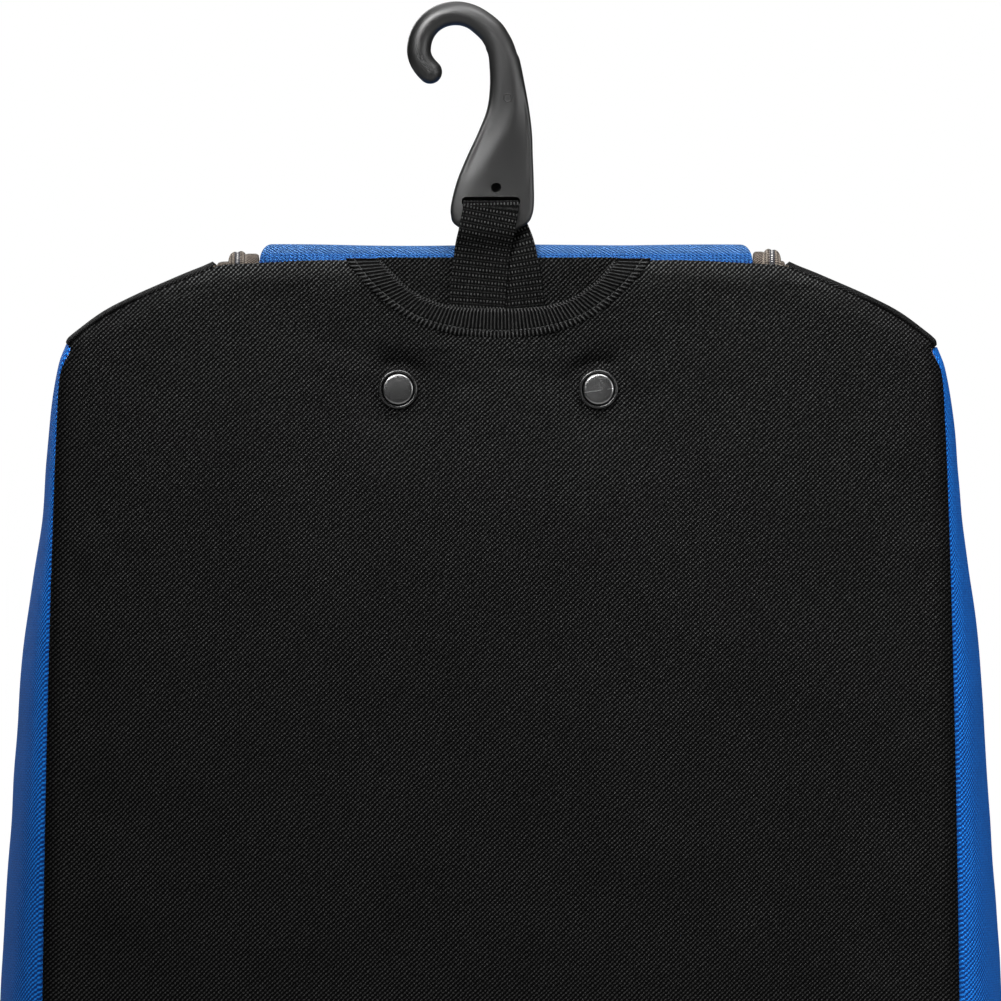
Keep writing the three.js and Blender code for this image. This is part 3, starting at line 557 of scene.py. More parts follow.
class Surface:
    """A procedural material, with short ways to add nodes to it."""

    def __init__(self, name, roughness, specular, metallic=0.0):
        self.material = bpy.data.materials.new(name)
        self.material.use_nodes = True
        self.tree = self.material.node_tree
        self.shader = self.tree.nodes["Principled BSDF"].inputs
        self.feed("Roughness", roughness)
        self.feed("Specular IOR Level", specular)
        self.feed("Metallic", metallic)

    def feed(self, key, value, inputs=None):
        """Sets an input of the shader or of another node, or links it to a varying value."""
        socket = (inputs or self.shader)[key]
        if isinstance(value, Value):
            self.tree.links.new(value.socket, socket)
        else:
            socket.default_value = value

    def node(self, kind, inputs, output=0, **settings):
        """One output of a new node."""
        made = self.tree.nodes.new(kind)
        for key, value in settings.items():
            setattr(made, key, value)
        for key, value in inputs.items():
            self.feed(key, value, made.inputs)
        return Value(self, made.outputs[output])

    def math(self, operation, a, b=0.0):
        return self.node("ShaderNodeMath", {0: a, 1: b}, operation=operation)

    def cloth(self):
        """The cloth coordinates of the piece: along, across and the third, in millimetres."""
        found = self.node("ShaderNodeAttribute", {}, "Vector", attribute_name="cloth")
        return [self.node("ShaderNodeSeparateXYZ", {0: found}, axis) for axis in "XYZ"]

    def noise(self, scale, detail):
        """Noise over the piece at rest, scaled in metres."""
        where = self.node("ShaderNodeTexCoord", {}, "Object")
        return self.node("ShaderNodeTexNoise", {"Vector": where, "Scale": scale, "Detail": detail}, "Fac")

    def mix(self, share, a, b):
        """A colour between two others."""
        return self.node("ShaderNodeMix", {0: share, 6: a, 7: b}, 2, data_type="RGBA")

    def tint(self, colour, factor):
        """A colour times a varying number."""
        plain = colour[:3] if isinstance(colour, tuple) else colour
        return self.node("ShaderNodeVectorMath", {0: plain, 1: factor}, operation="MULTIPLY")

    def bump(self, height, distance, strength):
        relief = {"Height": height, "Distance": distance, "Strength": strength}
        self.feed("Normal", self.node("ShaderNodeBump", relief))


def grey(level):
    return (level, level, level, 1.0)


def basket_weave(s, u, v):
    """Crossings of a basket weave, 1 on top of a yarn: they line up on diagonals that rise to the right."""
    wobble = s.noise(330.0, 2.0).spread(-0.45, 0.45)
    a = (u + wobble) * (math.pi / 1.1)
    b = (v - wobble * 0.6) * (math.pi / 1.07)
    return s.math("COSINE", a - b) * 0.65 - s.math("COSINE", a + b) * 0.35


def panel_cloth():
    """Black basket weave with bright crossings, painted lighter along the top edge for the top light on its
    roll, partly wear, and painted darker as shade along the side edges and in the strips' grooves.
    """
    s = Surface("panel_cloth", roughness=0.8, specular=0.02)
    u, v, edge = s.cloth()
    weave = basket_weave(s, u, v)
    blotch = s.noise(28.0, 4.0).spread(0.7, 1.3)
    fibre = s.noise(900.0, 2.0).spread(0.3, 1.7)
    dots = weave.step(-0.1, 1.0) * (blotch * fibre)
    cloth = s.mix(dots, grey(0.001), grey(0.0245))
    # Painted light: up to 1.9 times lighter within 9 mm of the top edge, mostly the top light on the rolled
    # edge and partly wear.
    wear_and_painted_top_light = edge.step(9.0, 1.0) * v.step(874.0, 884.0)
    # Painted shade: darker within 8 mm of the side edges below the shoulders, and darker still where the
    # third coordinate is below 0, in the strips' grooves by the seams; seam is this painted shade.
    shaded = edge.step(8.0, 0.5) * v.step(858.0, 846.0)
    seam = shaded.spread(1.0, 0.6) * edge.step(-0.5, -3.0).spread(1.0, 0.15)
    s.feed("Base Color", s.tint(cloth, wear_and_painted_top_light.spread(1.0, 1.9) * seam))
    s.bump(weave + fibre * 0.5, 0.00022, 0.8)
    return s.material


def gusset_cloth():
    """Blue basket weave, clearer along the seam and painted lighter there, as light on the cloth turning to
    face forward.
    """
    s = Surface("gusset_cloth", roughness=0.75, specular=0.05)
    u, v, edge = s.cloth()
    weave = basket_weave(s, u, v)
    mottle = s.noise(700.0, 3.0).spread(-0.25, 0.25)
    # Painted light: the weave is up to 1.2 times lighter within 12 mm of the seam, where the cloth turns to
    # face forward, and 0.85 times away from it.
    near = edge.step(12.0, 3.0)
    share = (weave.step(-0.4, 0.9) + mottle) * near.spread(0.85, 1.2)
    cloth = s.mix(share, (0.003, 0.026, 0.14, 1), (0.012, 0.17, 0.6, 1))
    s.feed("Base Color", s.tint(cloth, s.noise(14.0, 3.0).spread(0.86, 1.14)))
    s.bump(weave + mottle, 0.0002, 0.7)
    return s.material


def lid_cloth():
    """Lighter, paler blue weave than the gusset's, painted for the sheen and top light on the lid and partly
    pilling: pale diagonal floats that fall to the right, dark dots by the front hem.
    """
    s = Surface("lid_cloth", roughness=0.75, specular=0.06)
    u, v, _ = s.cloth()
    floats = (u + v * 1.1).wave(2.1)
    beat = (u * 0.5 - v).wave(1.25)
    weave = floats * 0.6 + beat * 0.4
    fleck = s.noise(800.0, 3.0).spread(-0.25, 0.25)
    # Painted sheen: the lighter, paler colours and the pale floats stand in for the sheen and top light on
    # the lid, partly pilling.
    cloth = s.mix(weave.step(-0.7, 0.9) + fleck, (0.0045, 0.026, 0.11, 1), (0.053, 0.121, 0.235, 1))
    dots = u.wave(1.8).step(-0.3, 0.7) * v.wave(1.5).step(-0.4, 0.6)
    hem = s.mix(dots, (0.016, 0.068, 0.2, 1), (0.003, 0.016, 0.085, 1))
    s.feed("Base Color", s.mix(v.step(-2.2, -4.2), cloth, hem))
    s.bump(weave + fleck, 0.0003, 0.8)
    return s.material


def webbing():
    """Black webbing: rows of small pale floats across it."""
    s = Surface("webbing", roughness=0.7, specular=0.02)
    u, v, _ = s.cloth()
    row = v.wave(2.8)
    floats = u.wave(1.5)
    weave = row.step(0.1, 0.95) * floats.step(-0.4, 0.8)
    between = row.step(-0.75, -0.98) * 0.22
    dots = (weave + between) * s.noise(700.0, 2.0).spread(0.5, 1.5)
    s.feed("Base Color", s.mix(dots, grey(0.0007), grey(0.029)))
    s.bump(weave * 0.8 + floats * 0.25, 0.0003, 0.8)
    return s.material


def binding_tape():
    """Black grosgrain: cross ribs, lighter along the sewn band and where they turn over the fold."""
    s = Surface("binding_tape", roughness=0.7, specular=0.02)
    along, across, _ = s.cloth()
    ribs = along.wave(1.5)
    band = across.step(8.6, 9.0)
    fold = across.step(1.2, 0.0)
    light = band.spread(0.26, 0.4) + fold * 0.3
    share = ribs.step(0.0, 0.9) * light * s.noise(600.0, 2.0).spread(0.4, 1.6)
    s.feed("Base Color", s.mix(share, grey(0.0008), grey(0.055)))
    s.bump(ribs, 0.00025, 0.7)
    return s.material


def moulded(name, level, roughness, grain, specular=0.4):
    """Moulded plastic or rubber: a fine grain, cloudy gloss and paler rubbed patches."""
    s = Surface(name, roughness, specular)
    fine = s.noise(grain, 2.0)
    cloud = s.noise(35.0, 4.0)
    rubbed = cloud.step(0.5, 0.75) * s.noise(260.0, 4.0)
    base = s.mix(rubbed, grey(level), grey(level * 1.9 + 0.004))
    s.feed("Base Color", s.tint(base, fine.spread(0.8, 1.2)))
    s.feed("Roughness", cloud.spread(roughness - 0.05, roughness + 0.06))
    s.bump(fine, 0.00004, 0.4)
    return s.material


def metal(name, level, roughness, scratched=False):
    """Worn metal: a fine grain, tarnish, and a light scratch where asked."""
    s = Surface(name, roughness, specular=0.5, metallic=1.0)
    grain = s.noise(900.0, 1.0)
    tarnish = s.noise(150.0, 2.0)
    face = s.tint(grey(level), grain.spread(0.93, 1.07) * tarnish.spread(0.7, 1.3))
    if scratched:
        u, v, _ = s.cloth()
        line = abs(v - u * 0.14 + 0.6)
        broken = abs(u - 2.6).step(1.2, 1.6)
        face = s.mix(line.step(0.3, 0.08) * broken, face, grey(min(1.0, level * 2.6)))
    s.feed("Base Color", face)
    s.feed("Roughness", tarnish.spread(roughness - 0.03, roughness + 0.05))
    return s.material


def zip_tape():
    """Taupe zip: diagonal ribs on the tape, pale flecks on the coil, a dark line of pale dots down it."""
    s = Surface("zip_tape", roughness=0.75, specular=0.1)
    across, along, kind = s.cloth()
    ribs = (across - along * 0.9).wave(1.5)
    fleck = s.noise(650.0, 3.0)
    tape = s.mix(ribs.step(-0.6, 0.6), (0.014, 0.0105, 0.0085, 1), (0.085, 0.07, 0.058, 1))
    cells = across.wave(2.9, 2.0) * along.wave(2.8)
    pale = abs(cells).step(0.1, 0.5) + fleck.spread(-0.25, 0.25)
    coil = s.mix(pale, (0.018, 0.014, 0.011, 1), (0.112, 0.095, 0.08, 1))
    on_coil = kind.step(0.4, 0.6)
    middle = abs(across).step(1.3, 1.0) * on_coil
    dots = along.wave(1.4).step(0.1, 0.7) * abs(across).step(0.5, 0.3)
    line = s.mix(dots, (0.025, 0.025, 0.028, 1), (0.36, 0.35, 0.34, 1))
    s.feed("Base Color", s.mix(middle, s.mix(on_coil, tape, coil), line))
    s.bump(ribs + fleck * 0.4, 0.00015, 0.5)
    return s.material


def thread(name, colour):
    """Twisted sewing thread."""
    s = Surface(name, roughness=0.7, specular=0.1)
    grain = s.noise(2500.0, 2.0)
    s.feed("Base Color", s.tint(colour, grain.spread(0.6, 1.4)))
    s.bump(grain, 0.00005, 0.6)
    return s.material


def floor_paint():
    """Pale matt floor with a faint mottle."""
    s = Surface("floor_paint", roughness=0.8, specular=0.1)
    s.feed("Base Color", s.mix(s.noise(3.0, 5.0), grey(0.78), grey(0.84)))
    return s.material


PANEL_CLOTH = panel_cloth()
GUSSET_CLOTH = gusset_cloth()
LID_CLOTH = lid_cloth()
WEBBING_CLOTH = webbing()
BINDING_TAPE = binding_tape()
HOOK_PLASTIC = moulded("hook_plastic", 0.002, 0.44, 1400.0, specular=0.46)
STUD_METAL = metal("stud_metal", 0.15, 0.28)
STUD_SCRATCHED = metal("stud_scratched", 0.18, 0.28, scratched=True)
STUD_ENAMEL = moulded("stud_enamel", 0.006, 0.28, 2200.0, specular=0.5)
ZIP_TAPE = zip_tape()
SLIDER_METAL = metal("slider_metal", 0.12, 0.34)
TUB_PLASTIC = moulded("tub_plastic", 0.009, 0.55, 900.0)
HUB_PLASTIC = moulded("hub_plastic", 0.025, 0.45, 1100.0)
TYRE_RUBBER = moulded("tyre_rubber", 0.006, 0.75, 800.0, specular=0.25)
AXLE_STEEL = metal("axle_steel", 0.5, 0.3)
FOOT_RUBBER = moulded("foot_rubber", 0.007, 0.75, 900.0, specular=0.25)
TAUPE_THREAD = thread("taupe_thread", (0.17, 0.135, 0.11, 1))
BLACK_THREAD = thread("black_thread", (0.02, 0.02, 0.02, 1))


# Camera, light and floor

def area_light(name, place, target, size, power, spread):
    """A soft box of a given width and height, turned towards a target."""
    light = bpy.data.lights.new(name, "AREA")
    light.shape = "RECTANGLE"
    light.spread = math.radians(spread)
    light.size, light.size_y = size
    light.energy = power
    lamp = bpy.data.objects.new(name, light)
    lamp.location = place
    lamp.rotation_euler = (Vector(target) - Vector(place)).to_track_quat("-Z", "Y").to_euler()
    lamp.visible_camera = False
    bpy.context.scene.collection.objects.link(lamp)


def studio():
    """The camera, the lights, the plain room and the floor."""
    scene = bpy.context.scene
    lens = bpy.data.cameras.new("camera")
    lens.sensor_width = VIEW.sensor
    lens.lens = VIEW.sensor * VIEW.away / (IMAGE * PIXEL)
    lens.clip_end = 100.0
    camera = bpy.data.objects.new("camera", lens)
    camera.location = (VIEW.x * MM, (VIEW.plane - VIEW.away) * MM, VIEW.z * MM)
    camera.rotation_euler = (math.radians(90), 0, 0)
    scene.collection.objects.link(camera)
    scene.camera = camera
    scene.view_settings.view_transform = "Standard"

    for light in LIGHTS:
        area_light(*light)

    world = bpy.data.worlds.new("studio")
    world.use_nodes = True
    scene.world = world
    tree = world.node_tree
    room = tree.nodes["Background"]
    room.inputs["Color"].default_value = grey(1.0)
    room.inputs["Strength"].default_value = AMBIENT
    backdrop = tree.nodes.new("ShaderNodeBackground")
    backdrop.inputs["Color"].default_value = grey(1.0)
    seen = tree.nodes.new("ShaderNodeLightPath")
    choice = tree.nodes.new("ShaderNodeMixShader")
    tree.links.new(seen.outputs["Is Camera Ray"], choice.inputs[0])
    tree.links.new(room.outputs[0], choice.inputs[1])
    tree.links.new(backdrop.outputs[0], choice.inputs[2])
    tree.links.new(choice.outputs[0], tree.nodes["World Output"].inputs["Surface"])

    floor = turned("floor", FLOOR_EDGE, 96, (0, 0, 0), np.eye(3))
    floor.data.materials.append(floor_paint())


studio()


# Front and back panels

def crowded(values, spot, width):
    """Evenly spread values moved closer together round a spot."""
    fine = np.linspace(values.min(), values.max(), 4001)
    density = 1 + 2.5 * bell(np.abs(fine) - spot, width)
    grown = np.cumsum(density) - density[0]
    return np.interp(values, fine[0] + grown * (fine[-1] - fine[0]) / grown[-1], fine)


def panel_rows(low_count, high_count, slope_count, corner_count):
    """Heights and half-widths of the rows of a panel, up the sides, over the shoulders to the top edge."""
    low = shoulder_point(1.0, SHOULDER_TUCK)
    heights = np.concatenate([
        np.linspace(CLOTH_BOTTOM, DETAIL_FROM, low_count, endpoint=False),
        crowded(np.linspace(DETAIL_FROM, low[1], high_count + 1), STUD.z + 4, 16.0)[:-1],
    ])
    sides = np.stack([panel_half(heights), heights], 1)
    slope = shoulder_point(np.linspace(1, 0, slope_count), SHOULDER_TUCK)
    top = slope[-1]
    turn = np.linspace(0, 1, corner_count + 1)[1:, None]
    corner = np.concatenate([top[0] - 5.0 * turn**1.6, top[1] + (PANEL_TOP - top[1]) * turn], 1)
    rows = np.concatenate([sides, slope, corner])
    return rows[:, 1], rows[:, 0]


def edge_dense(middle, edge, reach):
    """Shares from -1 to 1: even in the middle, closer together over the last reach at each side."""
    side = 1 - reach * (1 - np.sin(np.linspace(0, math.pi / 2, edge + 1)))[1:]
    inner = np.linspace(-(1 - reach), 1 - reach, middle)
    return np.concatenate([-side[::-1], inner, side])


def panel_grid(heights, halves, shares, mouth):
    """x and z of a panel's points, a little inside its outline, round the mouth if it has one."""
    inset = SEAM_SHOW.by * eased(heights, SEAM_SHOW)
    x = np.outer(halves - inset, shares)
    z = np.broadcast_to(heights[:, None] - inset[:, None] * 0.5, x.shape)
    if mouth:
        start = TOP_LIFT.start
        top = np.minimum(panel_top(x), mouth_height(x))
        z = np.where(z > start, start + (z - start) * (top - start) / (PANEL_TOP - start), z)
    return x, z


def panel_piece(name, side, seed, mouth):
    """A padded panel: side is -1 for the front and 1 for the back."""
    def face(x, z):
        return front_face(x, z) if mouth else side * (HALF_DEPTH + panel_rise(x, z))

    coarse_rows = panel_rows(low_count=50, high_count=32, slope_count=9, corner_count=2)
    coarse_shares = np.linspace(-1, 1, 45)
    x, z = panel_grid(*coarse_rows, coarse_shares, mouth)
    held = edge_distance(x, z) < 5
    held[:2] = True
    held[-2:] = True
    if mouth:
        held |= stud_distance(x, z) < STUD.ring + 2
    shift = np.zeros((*x.shape, 3))
    grid = stacked(x, face(x, z), z)[:, ::-side]
    shift = settled(grid, held[:, ::-side], growth=0.006, push=1.5, limit=1.6)[:, ::-side]

    if mouth:
        rows = panel_rows(low_count=80, high_count=130, slope_count=44, corner_count=6)
        shares = crowded(edge_dense(middle=117, edge=16, reach=0.075), STUD.x / 200, 0.055)
    else:
        rows = panel_rows(low_count=70, high_count=60, slope_count=30, corner_count=6)
        shares = edge_dense(middle=81, edge=16, reach=0.075)
    x, z = panel_grid(*rows, shares, mouth)
    along = np.interp(rows[0], coarse_rows[0], np.arange(len(coarse_rows[0])))
    across = np.interp(shares, coarse_shares, np.arange(len(coarse_shares)))
    down, over = cubic_weights(along, len(coarse_rows[0])), cubic_weights(across, len(coarse_shares))
    shift = np.einsum("ri,ijk,cj->rck", down, shift, over)
    inside = smooth(edge_distance(x, z) / 30)
    if mouth:
        inside = inside * smooth((stud_distance(x, z) - STUD.ring - 1) / 14)
    waves = 0.35 * ripple(x, z, 90, 7, seed) + 0.1 * ripple(x, z, 22, 9, seed + 1)
    outer = stacked(x, face(x, z) + side * waves * inside, z) + shift
    level = lowered(x, z) if mouth else z
    inner = outer - stacked(0, side * panel_thick(x, level), 0)
    return cloth_wall(name, outer, inner, stacked(x, z, edge_distance(x, level)))


for face_word, outwards, first_seed, has_mouth in (("front", -1, 11, True), ("back", 1, 21, False)):
    panel = panel_piece(f"padded_{face_word}_panel", outwards, first_seed, has_mouth)
    dressed(panel, PANEL_CLOTH, "black_cloth", f"{face_word}_panel")


# Side gussets

def gusset_piece(word, side, seed, slim):
    """A gusset that bellies out between the panels, slim millimetres flatter near the top."""
    low = np.linspace(CLOTH_BOTTOM, DETAIL_FROM, 90, endpoint=False)
    rows = np.concatenate([low, np.linspace(DETAIL_FROM, GUSSET.top, 130)])
    z, t = crossed(rows, edge_dense(middle=61, edge=14, reach=0.09))
    y = t * (HALF_DEPTH - GAP)
    from_seam = (1 - np.abs(t)) * (HALF_DEPTH - GAP)
    tuck = (shoulder_point(1.0, 0.0) - shoulder_point(1.0, SHOULDER_TUCK))[1]
    lift = eased(z, GUSSET_LIFT) * quarter_round(from_seam / SHOULDER_ROLL)
    lift = lift * (tuck + GUSSET.left_rise * (1 - side))
    bulge = gusset_bulge(z) - slim * eased(z, GUSSET_SLIMMING)
    squaring = GUSSET_SQUARING.by * eased(z, GUSSET_SQUARING)
    crisp = GUSSET.crisp * smooth((z - TUB.top) / GUSSET.crisp_over)
    full = 1 - np.abs(t) ** (GUSSET_FULLNESS + squaring)
    belly = (1 - crisp) * full + crisp * quarter_round(from_seam / GUSSET.seam)
    free = smooth((1 - np.abs(t)) * 7) * smooth((GUSSET.top - z) / 60) * smooth((z - CLOTH_BOTTOM - 2) / 60)
    slack = 0.45 * ripple(y * 0.35, z, 130, 6, seed) + 0.12 * ripple(y * 0.5, z, 34, 8, seed + 1)
    out = panel_half(z) + bulge * belly + slack * free
    outer = stacked(side * out, y, z + lift)
    inner = stacked(side * (out - CLOTH), y, z + lift)
    piece = cloth_wall(f"gusset_cloth_{word}", outer, inner, stacked(y * side, z, from_seam))
    dressed(piece, GUSSET_CLOTH, "blue_cloth", f"side_gusset_{word}")


# Shoulder strips

def strip_piece(word, side):
    """A shoulder strip, its lower end turned down over the gusset, a little further on the right.

    Its cloth is plain 8 mm from the edge and dark below 0, in the groove along each long side: painted shade
    where the strip tucks under the panel's edge.
    """
    end = STRIP.end + STRIP.end_right * side
    shares = np.concatenate([np.linspace(0, 0.96, 56, endpoint=False), np.linspace(0.96, end, 14)])
    s, t = crossed(shares, edge_dense(middle=41, edge=18, reach=0.1))
    y = t * (HALF_DEPTH - GAP)
    from_seam = (1 - np.abs(t)) * (HALF_DEPTH - GAP)
    inwards = SHOULDER_TUCK * (1 - quarter_round(from_seam / SHOULDER_ROLL))
    waves = 0.12 * ripple(s * 80, y, 26, 7, 31) * smooth(s * 12) * smooth((1 - s) * 12)
    curl = (STRIP.curl + STRIP.curl_right * side) * clamp01((s - end + STRIP.turn) / STRIP.turn) ** 2
    walls = []
    for depth in (0.0, CLOTH - GAP):
        point = shoulder_point(s, inwards + waves + curl + depth)
        walls.append(stacked(side * point[..., 0], y, point[..., 1]))
    # Painted shade: groove sets the cloth's third coordinate below 0, which the panel cloth paints dark,
    # along the tuck beside the panel.
    groove = smooth((inwards - 1.1) / 0.8) * smooth((s - 0.15) / 0.45)
    cloth = stacked(side * s * STRIP.length, y + np.sign(t) * inwards, 8 + from_seam - 12 * groove)
    piece = cloth_wall(f"shoulder_cloth_{word}", *walls, cloth)
    dressed(piece, PANEL_CLOTH, "black_cloth", f"shoulder_strip_{word}")


# Lid

def lid_piece():
    """The lid: a thin hem along its stepped front edge, then the padding, which starts on a softer line."""
    left, right = LID.x - LID.half, LID.x + LID.half
    middle = MOUTH.x + POCKET.half * edge_dense(middle=61, edge=12, reach=0.25)
    inset = LID_FRONT.dense * (1 - np.sin(np.linspace(0, math.pi / 2, 26)))
    before, after = left + inset[::-1], right - inset
    x = np.concatenate([before[before < middle[0] - 0.5], middle, after[after > middle[-1] + 0.5]])
    away = np.abs(x - MOUTH.x)
    behind = pocket_level(x, panel_top(x)) + POCKET.wall + 0.5
    front = np.where(away > POCKET.half + GAP, LID.front, behind)
    deepest = pocket_level(np.array(MOUTH.x), panel_top(MOUTH.x)) + POCKET.wall + 0.5
    softer = LID.front + (deepest - LID.front) * smooth((LID_FRONT.soft - away) / LID_FRONT.over)
    start = np.maximum(front, softer)
    shares = (edge_dense(middle=61, edge=30, reach=0.1) + 1) / 2
    y = front + np.outer(shares, LID.back - front)
    x = np.broadcast_to(x, y.shape)
    nearest = np.minimum(np.minimum(np.minimum(x - left, right - x), y - start), LID.back - y)
    roll = LID_FRONT.hem + (1 - LID_FRONT.hem) * quarter_round(nearest / LID.round)
    waves = 0.25 * ripple(x, y * 0.6, 70, 6, 41) * smooth(nearest / 6)
    outer = stacked(x, y, LID.bottom + LID.thick * roll + waves)
    inner = stacked(x, y, LID.bottom)
    drop = LID.thick * (1 - roll)
    piece = cloth_wall("padded_lid", outer, inner, stacked(x, y - start - drop, np.maximum(nearest, 0)))
    dressed(piece, LID_CLOTH, "blue_cloth", "top_lid")


# Zips

def squared(value, power):
    """Height across a bulge with rather square shoulders, 1 in the middle and 0 at either side."""
    return (1 - clamp01(np.abs(value)) ** power) ** (1 / power)


def rise_between(rise, front):
    """Height of a part of the zip, from its run to its front end."""
    return rise.run + (rise.front - rise.run) * front


def zip_piece(word, side):
    """A zip: the welt against the lid, the chain and the low outer tape, all taller at the front end."""
    reach = HALF_DEPTH - GAP
    middle, chain = ZIP.x + side * ZIP.shift, ZIP.chain
    lid_edge, outer_edge = LID.half + side * LID.x + 0.1, ZIP.outer
    y = np.concatenate([
        -reach + ZIP.end * (1 - np.cos(np.linspace(0, math.pi / 2, 28, endpoint=False))),
        np.linspace(-reach + ZIP.end, reach - ZIP.end, 400),
        reach - ZIP.end * (1 - np.sin(np.linspace(0, math.pi / 2, 25)))[1:],
    ])
    x = np.concatenate([
        np.linspace(lid_edge, middle - chain, 13, endpoint=False),
        middle - chain * np.cos(np.linspace(0, math.pi, 32)),
        np.linspace(middle + chain, outer_edge, 10)[1:],
    ])
    y, x = crossed(y, x)
    end = quarter_round((reach - np.abs(y)) / ZIP.fall)
    front = (1 + ZIP_RISE.right * (side + 1)) * eased(-y, ZIP_RISE)
    across = (x - middle) / chain
    coil = squared(across, 3.0)
    loops = 0.16 * np.cos(y * 2 * math.pi / ZIP.loop) * (1 - bell(across, 0.3)) * coil
    furrow = 0.35 * bell(across, 0.2)
    lean = -0.5 * across * front
    bump = (rise_between(ZIP_RISE, front) + lean - furrow) * coil + loops
    half_welt = (middle - chain * 0.7 - lid_edge) / 2
    welt = rise_between(WELT_RISE, front) * squared((x - lid_edge - half_welt) / half_welt, 5.0)
    tape_start = middle + chain * 0.9
    tape = rise_between(TAPE_RISE, front) * squared((x - tape_start) / (outer_edge - 1.6 - tape_start), 3.0)
    rise = np.maximum(np.maximum(bump, welt), tape * (across > 0)) * (0.12 + 0.88 * end)
    outer = stacked(side * x, y, ZIP.tape_z + ZIP.tape + rise)
    inner = stacked(side * x, y, ZIP.tape_z)
    kind = (np.abs(across) < 1.0).astype(float)
    drop = ZIP.fall * (1 - end)
    piece = cloth_wall(f"zip_chain_{word}", outer, inner, stacked(x - middle, y - drop, kind), sharp=70)
    dressed(piece, ZIP_TAPE, "zip_cloth", f"top_zip_{word}")


# Zip sliders

def outline_prism(name, outline, low, high, bevel):
    """A flat shape given by x and y pairs, with rounded edges."""
    points = np.array(outline, float)
    centre = points.mean(0)
    levels = []
    for z, inset in ((low, bevel), (low + bevel * 0.3, bevel * 0.3), (low + bevel, 0.0),
                     (high - bevel, 0.0), (high - bevel * 0.3, bevel * 0.3), (high, bevel)):
        size = np.linalg.norm(points - centre, axis=1, keepdims=True)
        ring = centre + (points - centre) * (1 - inset / size)
        levels.append(np.concatenate([ring, np.full((len(ring), 1), z)], 1))
    return loft(name, np.array(levels))


def joined(name, pieces):
    """Several pieces made one."""
    with bpy.context.temp_override(active_object=pieces[0], selected_editable_objects=pieces):
        bpy.ops.object.join()
    pieces[0].name = name
    return pieces[0]


def slider_piece(word, side):
    """A slider: the body on the chain, the saddle and the pull tab."""
    half, length, thick = SLIDER.half, SLIDER.length, SLIDER.thick
    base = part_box(f"zip_slider_{word}")[0].z / MM
    shift = np.array([side * (ZIP.x + side * ZIP.shift), SLIDER.y])
    angles = turn_angles(64)
    swell = 1 + 0.16 * np.sin(angles)
    body = np.stack([half * np.cos(angles) * swell, -length / 2 + length / 2 * np.sin(angles)], 1)
    saddle = np.stack([1.5 * np.cos(angles), -length / 2 + 5 * np.sin(angles)], 1)
    arc = np.linspace(0, math.pi, 24)
    tab_half, pull = SLIDER.pull_half, SLIDER.pull
    tab = np.concatenate([
        np.stack([tab_half * np.cos(arc), -length * 0.4 + 0.6 * np.sin(arc)], 1),
        np.stack([-tab_half * np.cos(arc), -pull - tab_half * np.sin(arc)], 1),
    ])
    parts = [
        outline_prism("slider_body", body + shift, base, base + thick * 0.6, 0.7),
        outline_prism("slider_saddle", saddle + shift, base + thick * 0.5, base + thick, 0.8),
        outline_prism("slider_tab", tab + shift, base + thick - 0.4, base + thick + 0.8, 0.4),
    ]
    dressed(joined(f"slider_{word}", parts), SLIDER_METAL, "slider_metal", f"zip_slider_{word}")


# Pocket, its binding and the stitches

def pocket_piece():
    """The inner layer of the pocket, which shows through the mouth."""
    shares = edge_dense(middle=61, edge=14, reach=0.3)
    heights = np.concatenate([np.linspace(0, 0.14, 16, endpoint=False), np.linspace(0.14, 1, 70)])
    x = np.broadcast_to(MOUTH.x + shares * POCKET.half, (len(heights), len(shares)))
    top = MOUTH.top + 0.8 - 4.3 * smooth((np.abs(shares) - 0.8) / 0.2)
    z = POCKET.bottom + np.outer(heights, top - POCKET.bottom)
    level = pocket_level(x, z)
    free = smooth((POCKET.half - np.abs(x - MOUTH.x)) / 16) * smooth((z - POCKET.bottom) / 20)
    waves = 0.2 + 0.25 * ripple(x, z, 45, 6, 51)
    level = level + np.maximum(waves, 0) * free
    outer = stacked(x, level, z)
    inner = stacked(x, level + POCKET.wall, z)
    piece = cloth_wall("pocket_cloth", outer, inner, stacked(x, z, np.full(x.shape, 20.0)))
    dressed(piece, PANEL_CLOTH, "black_cloth", "hook_pocket")


def mouth_edge(share):
    """x and z of the mouth's bound edge, and the direction down the face from it."""
    x = MOUTH.x + share * (MOUTH.half - 1.6)
    step = 0.05
    slope = (mouth_height(x + step) - mouth_height(x - step)) / (2 * step)
    down = np.stack([slope, -np.ones_like(slope)], -1) / np.hypot(slope, 1.0)[..., None]
    return np.stack([x, mouth_height(x) + GAP], -1), down


BINDING_TOP = PANEL_TOP + TOP_LIFT.by + 0.9


def binding_reach(depth):
    """The share of the half-mouth at which a line of the binding comes up past the top of the panel."""
    low, high = np.full(depth.shape, 0.8), np.full(depth.shape, 1.6)
    for _ in range(30):
        middle = (low + high) / 2
        edge, down = mouth_edge(middle)
        below = edge[..., 1] + down[..., 1] * depth < BINDING_TOP - 0.4
        low, high = np.where(below, middle, low), np.where(below, high, middle)
    return low


def below_edge(edge, down, depth):
    """x and z of points depth below the mouth's edge, cut off level at the top of the binding."""
    spot = edge + down * depth[..., None]
    return spot[..., 0], np.minimum(spot[..., 1], BINDING_TOP)


def binding_place(share, depth):
    """x and z of a point on the face of the binding, depth below its edge, and the face's y there."""
    x, z = below_edge(*mouth_edge(share), depth)
    return x, z, front_face(x, np.minimum(z, panel_top(x) - 1)) - 0.5


def narrowed(share):
    """The share of the binding's width that shows: less on the two slopes of the mouth."""
    return 1 - 0.12 * smooth(np.abs(share) / 0.5) * smooth((1.05 - np.abs(share)) / 0.3)


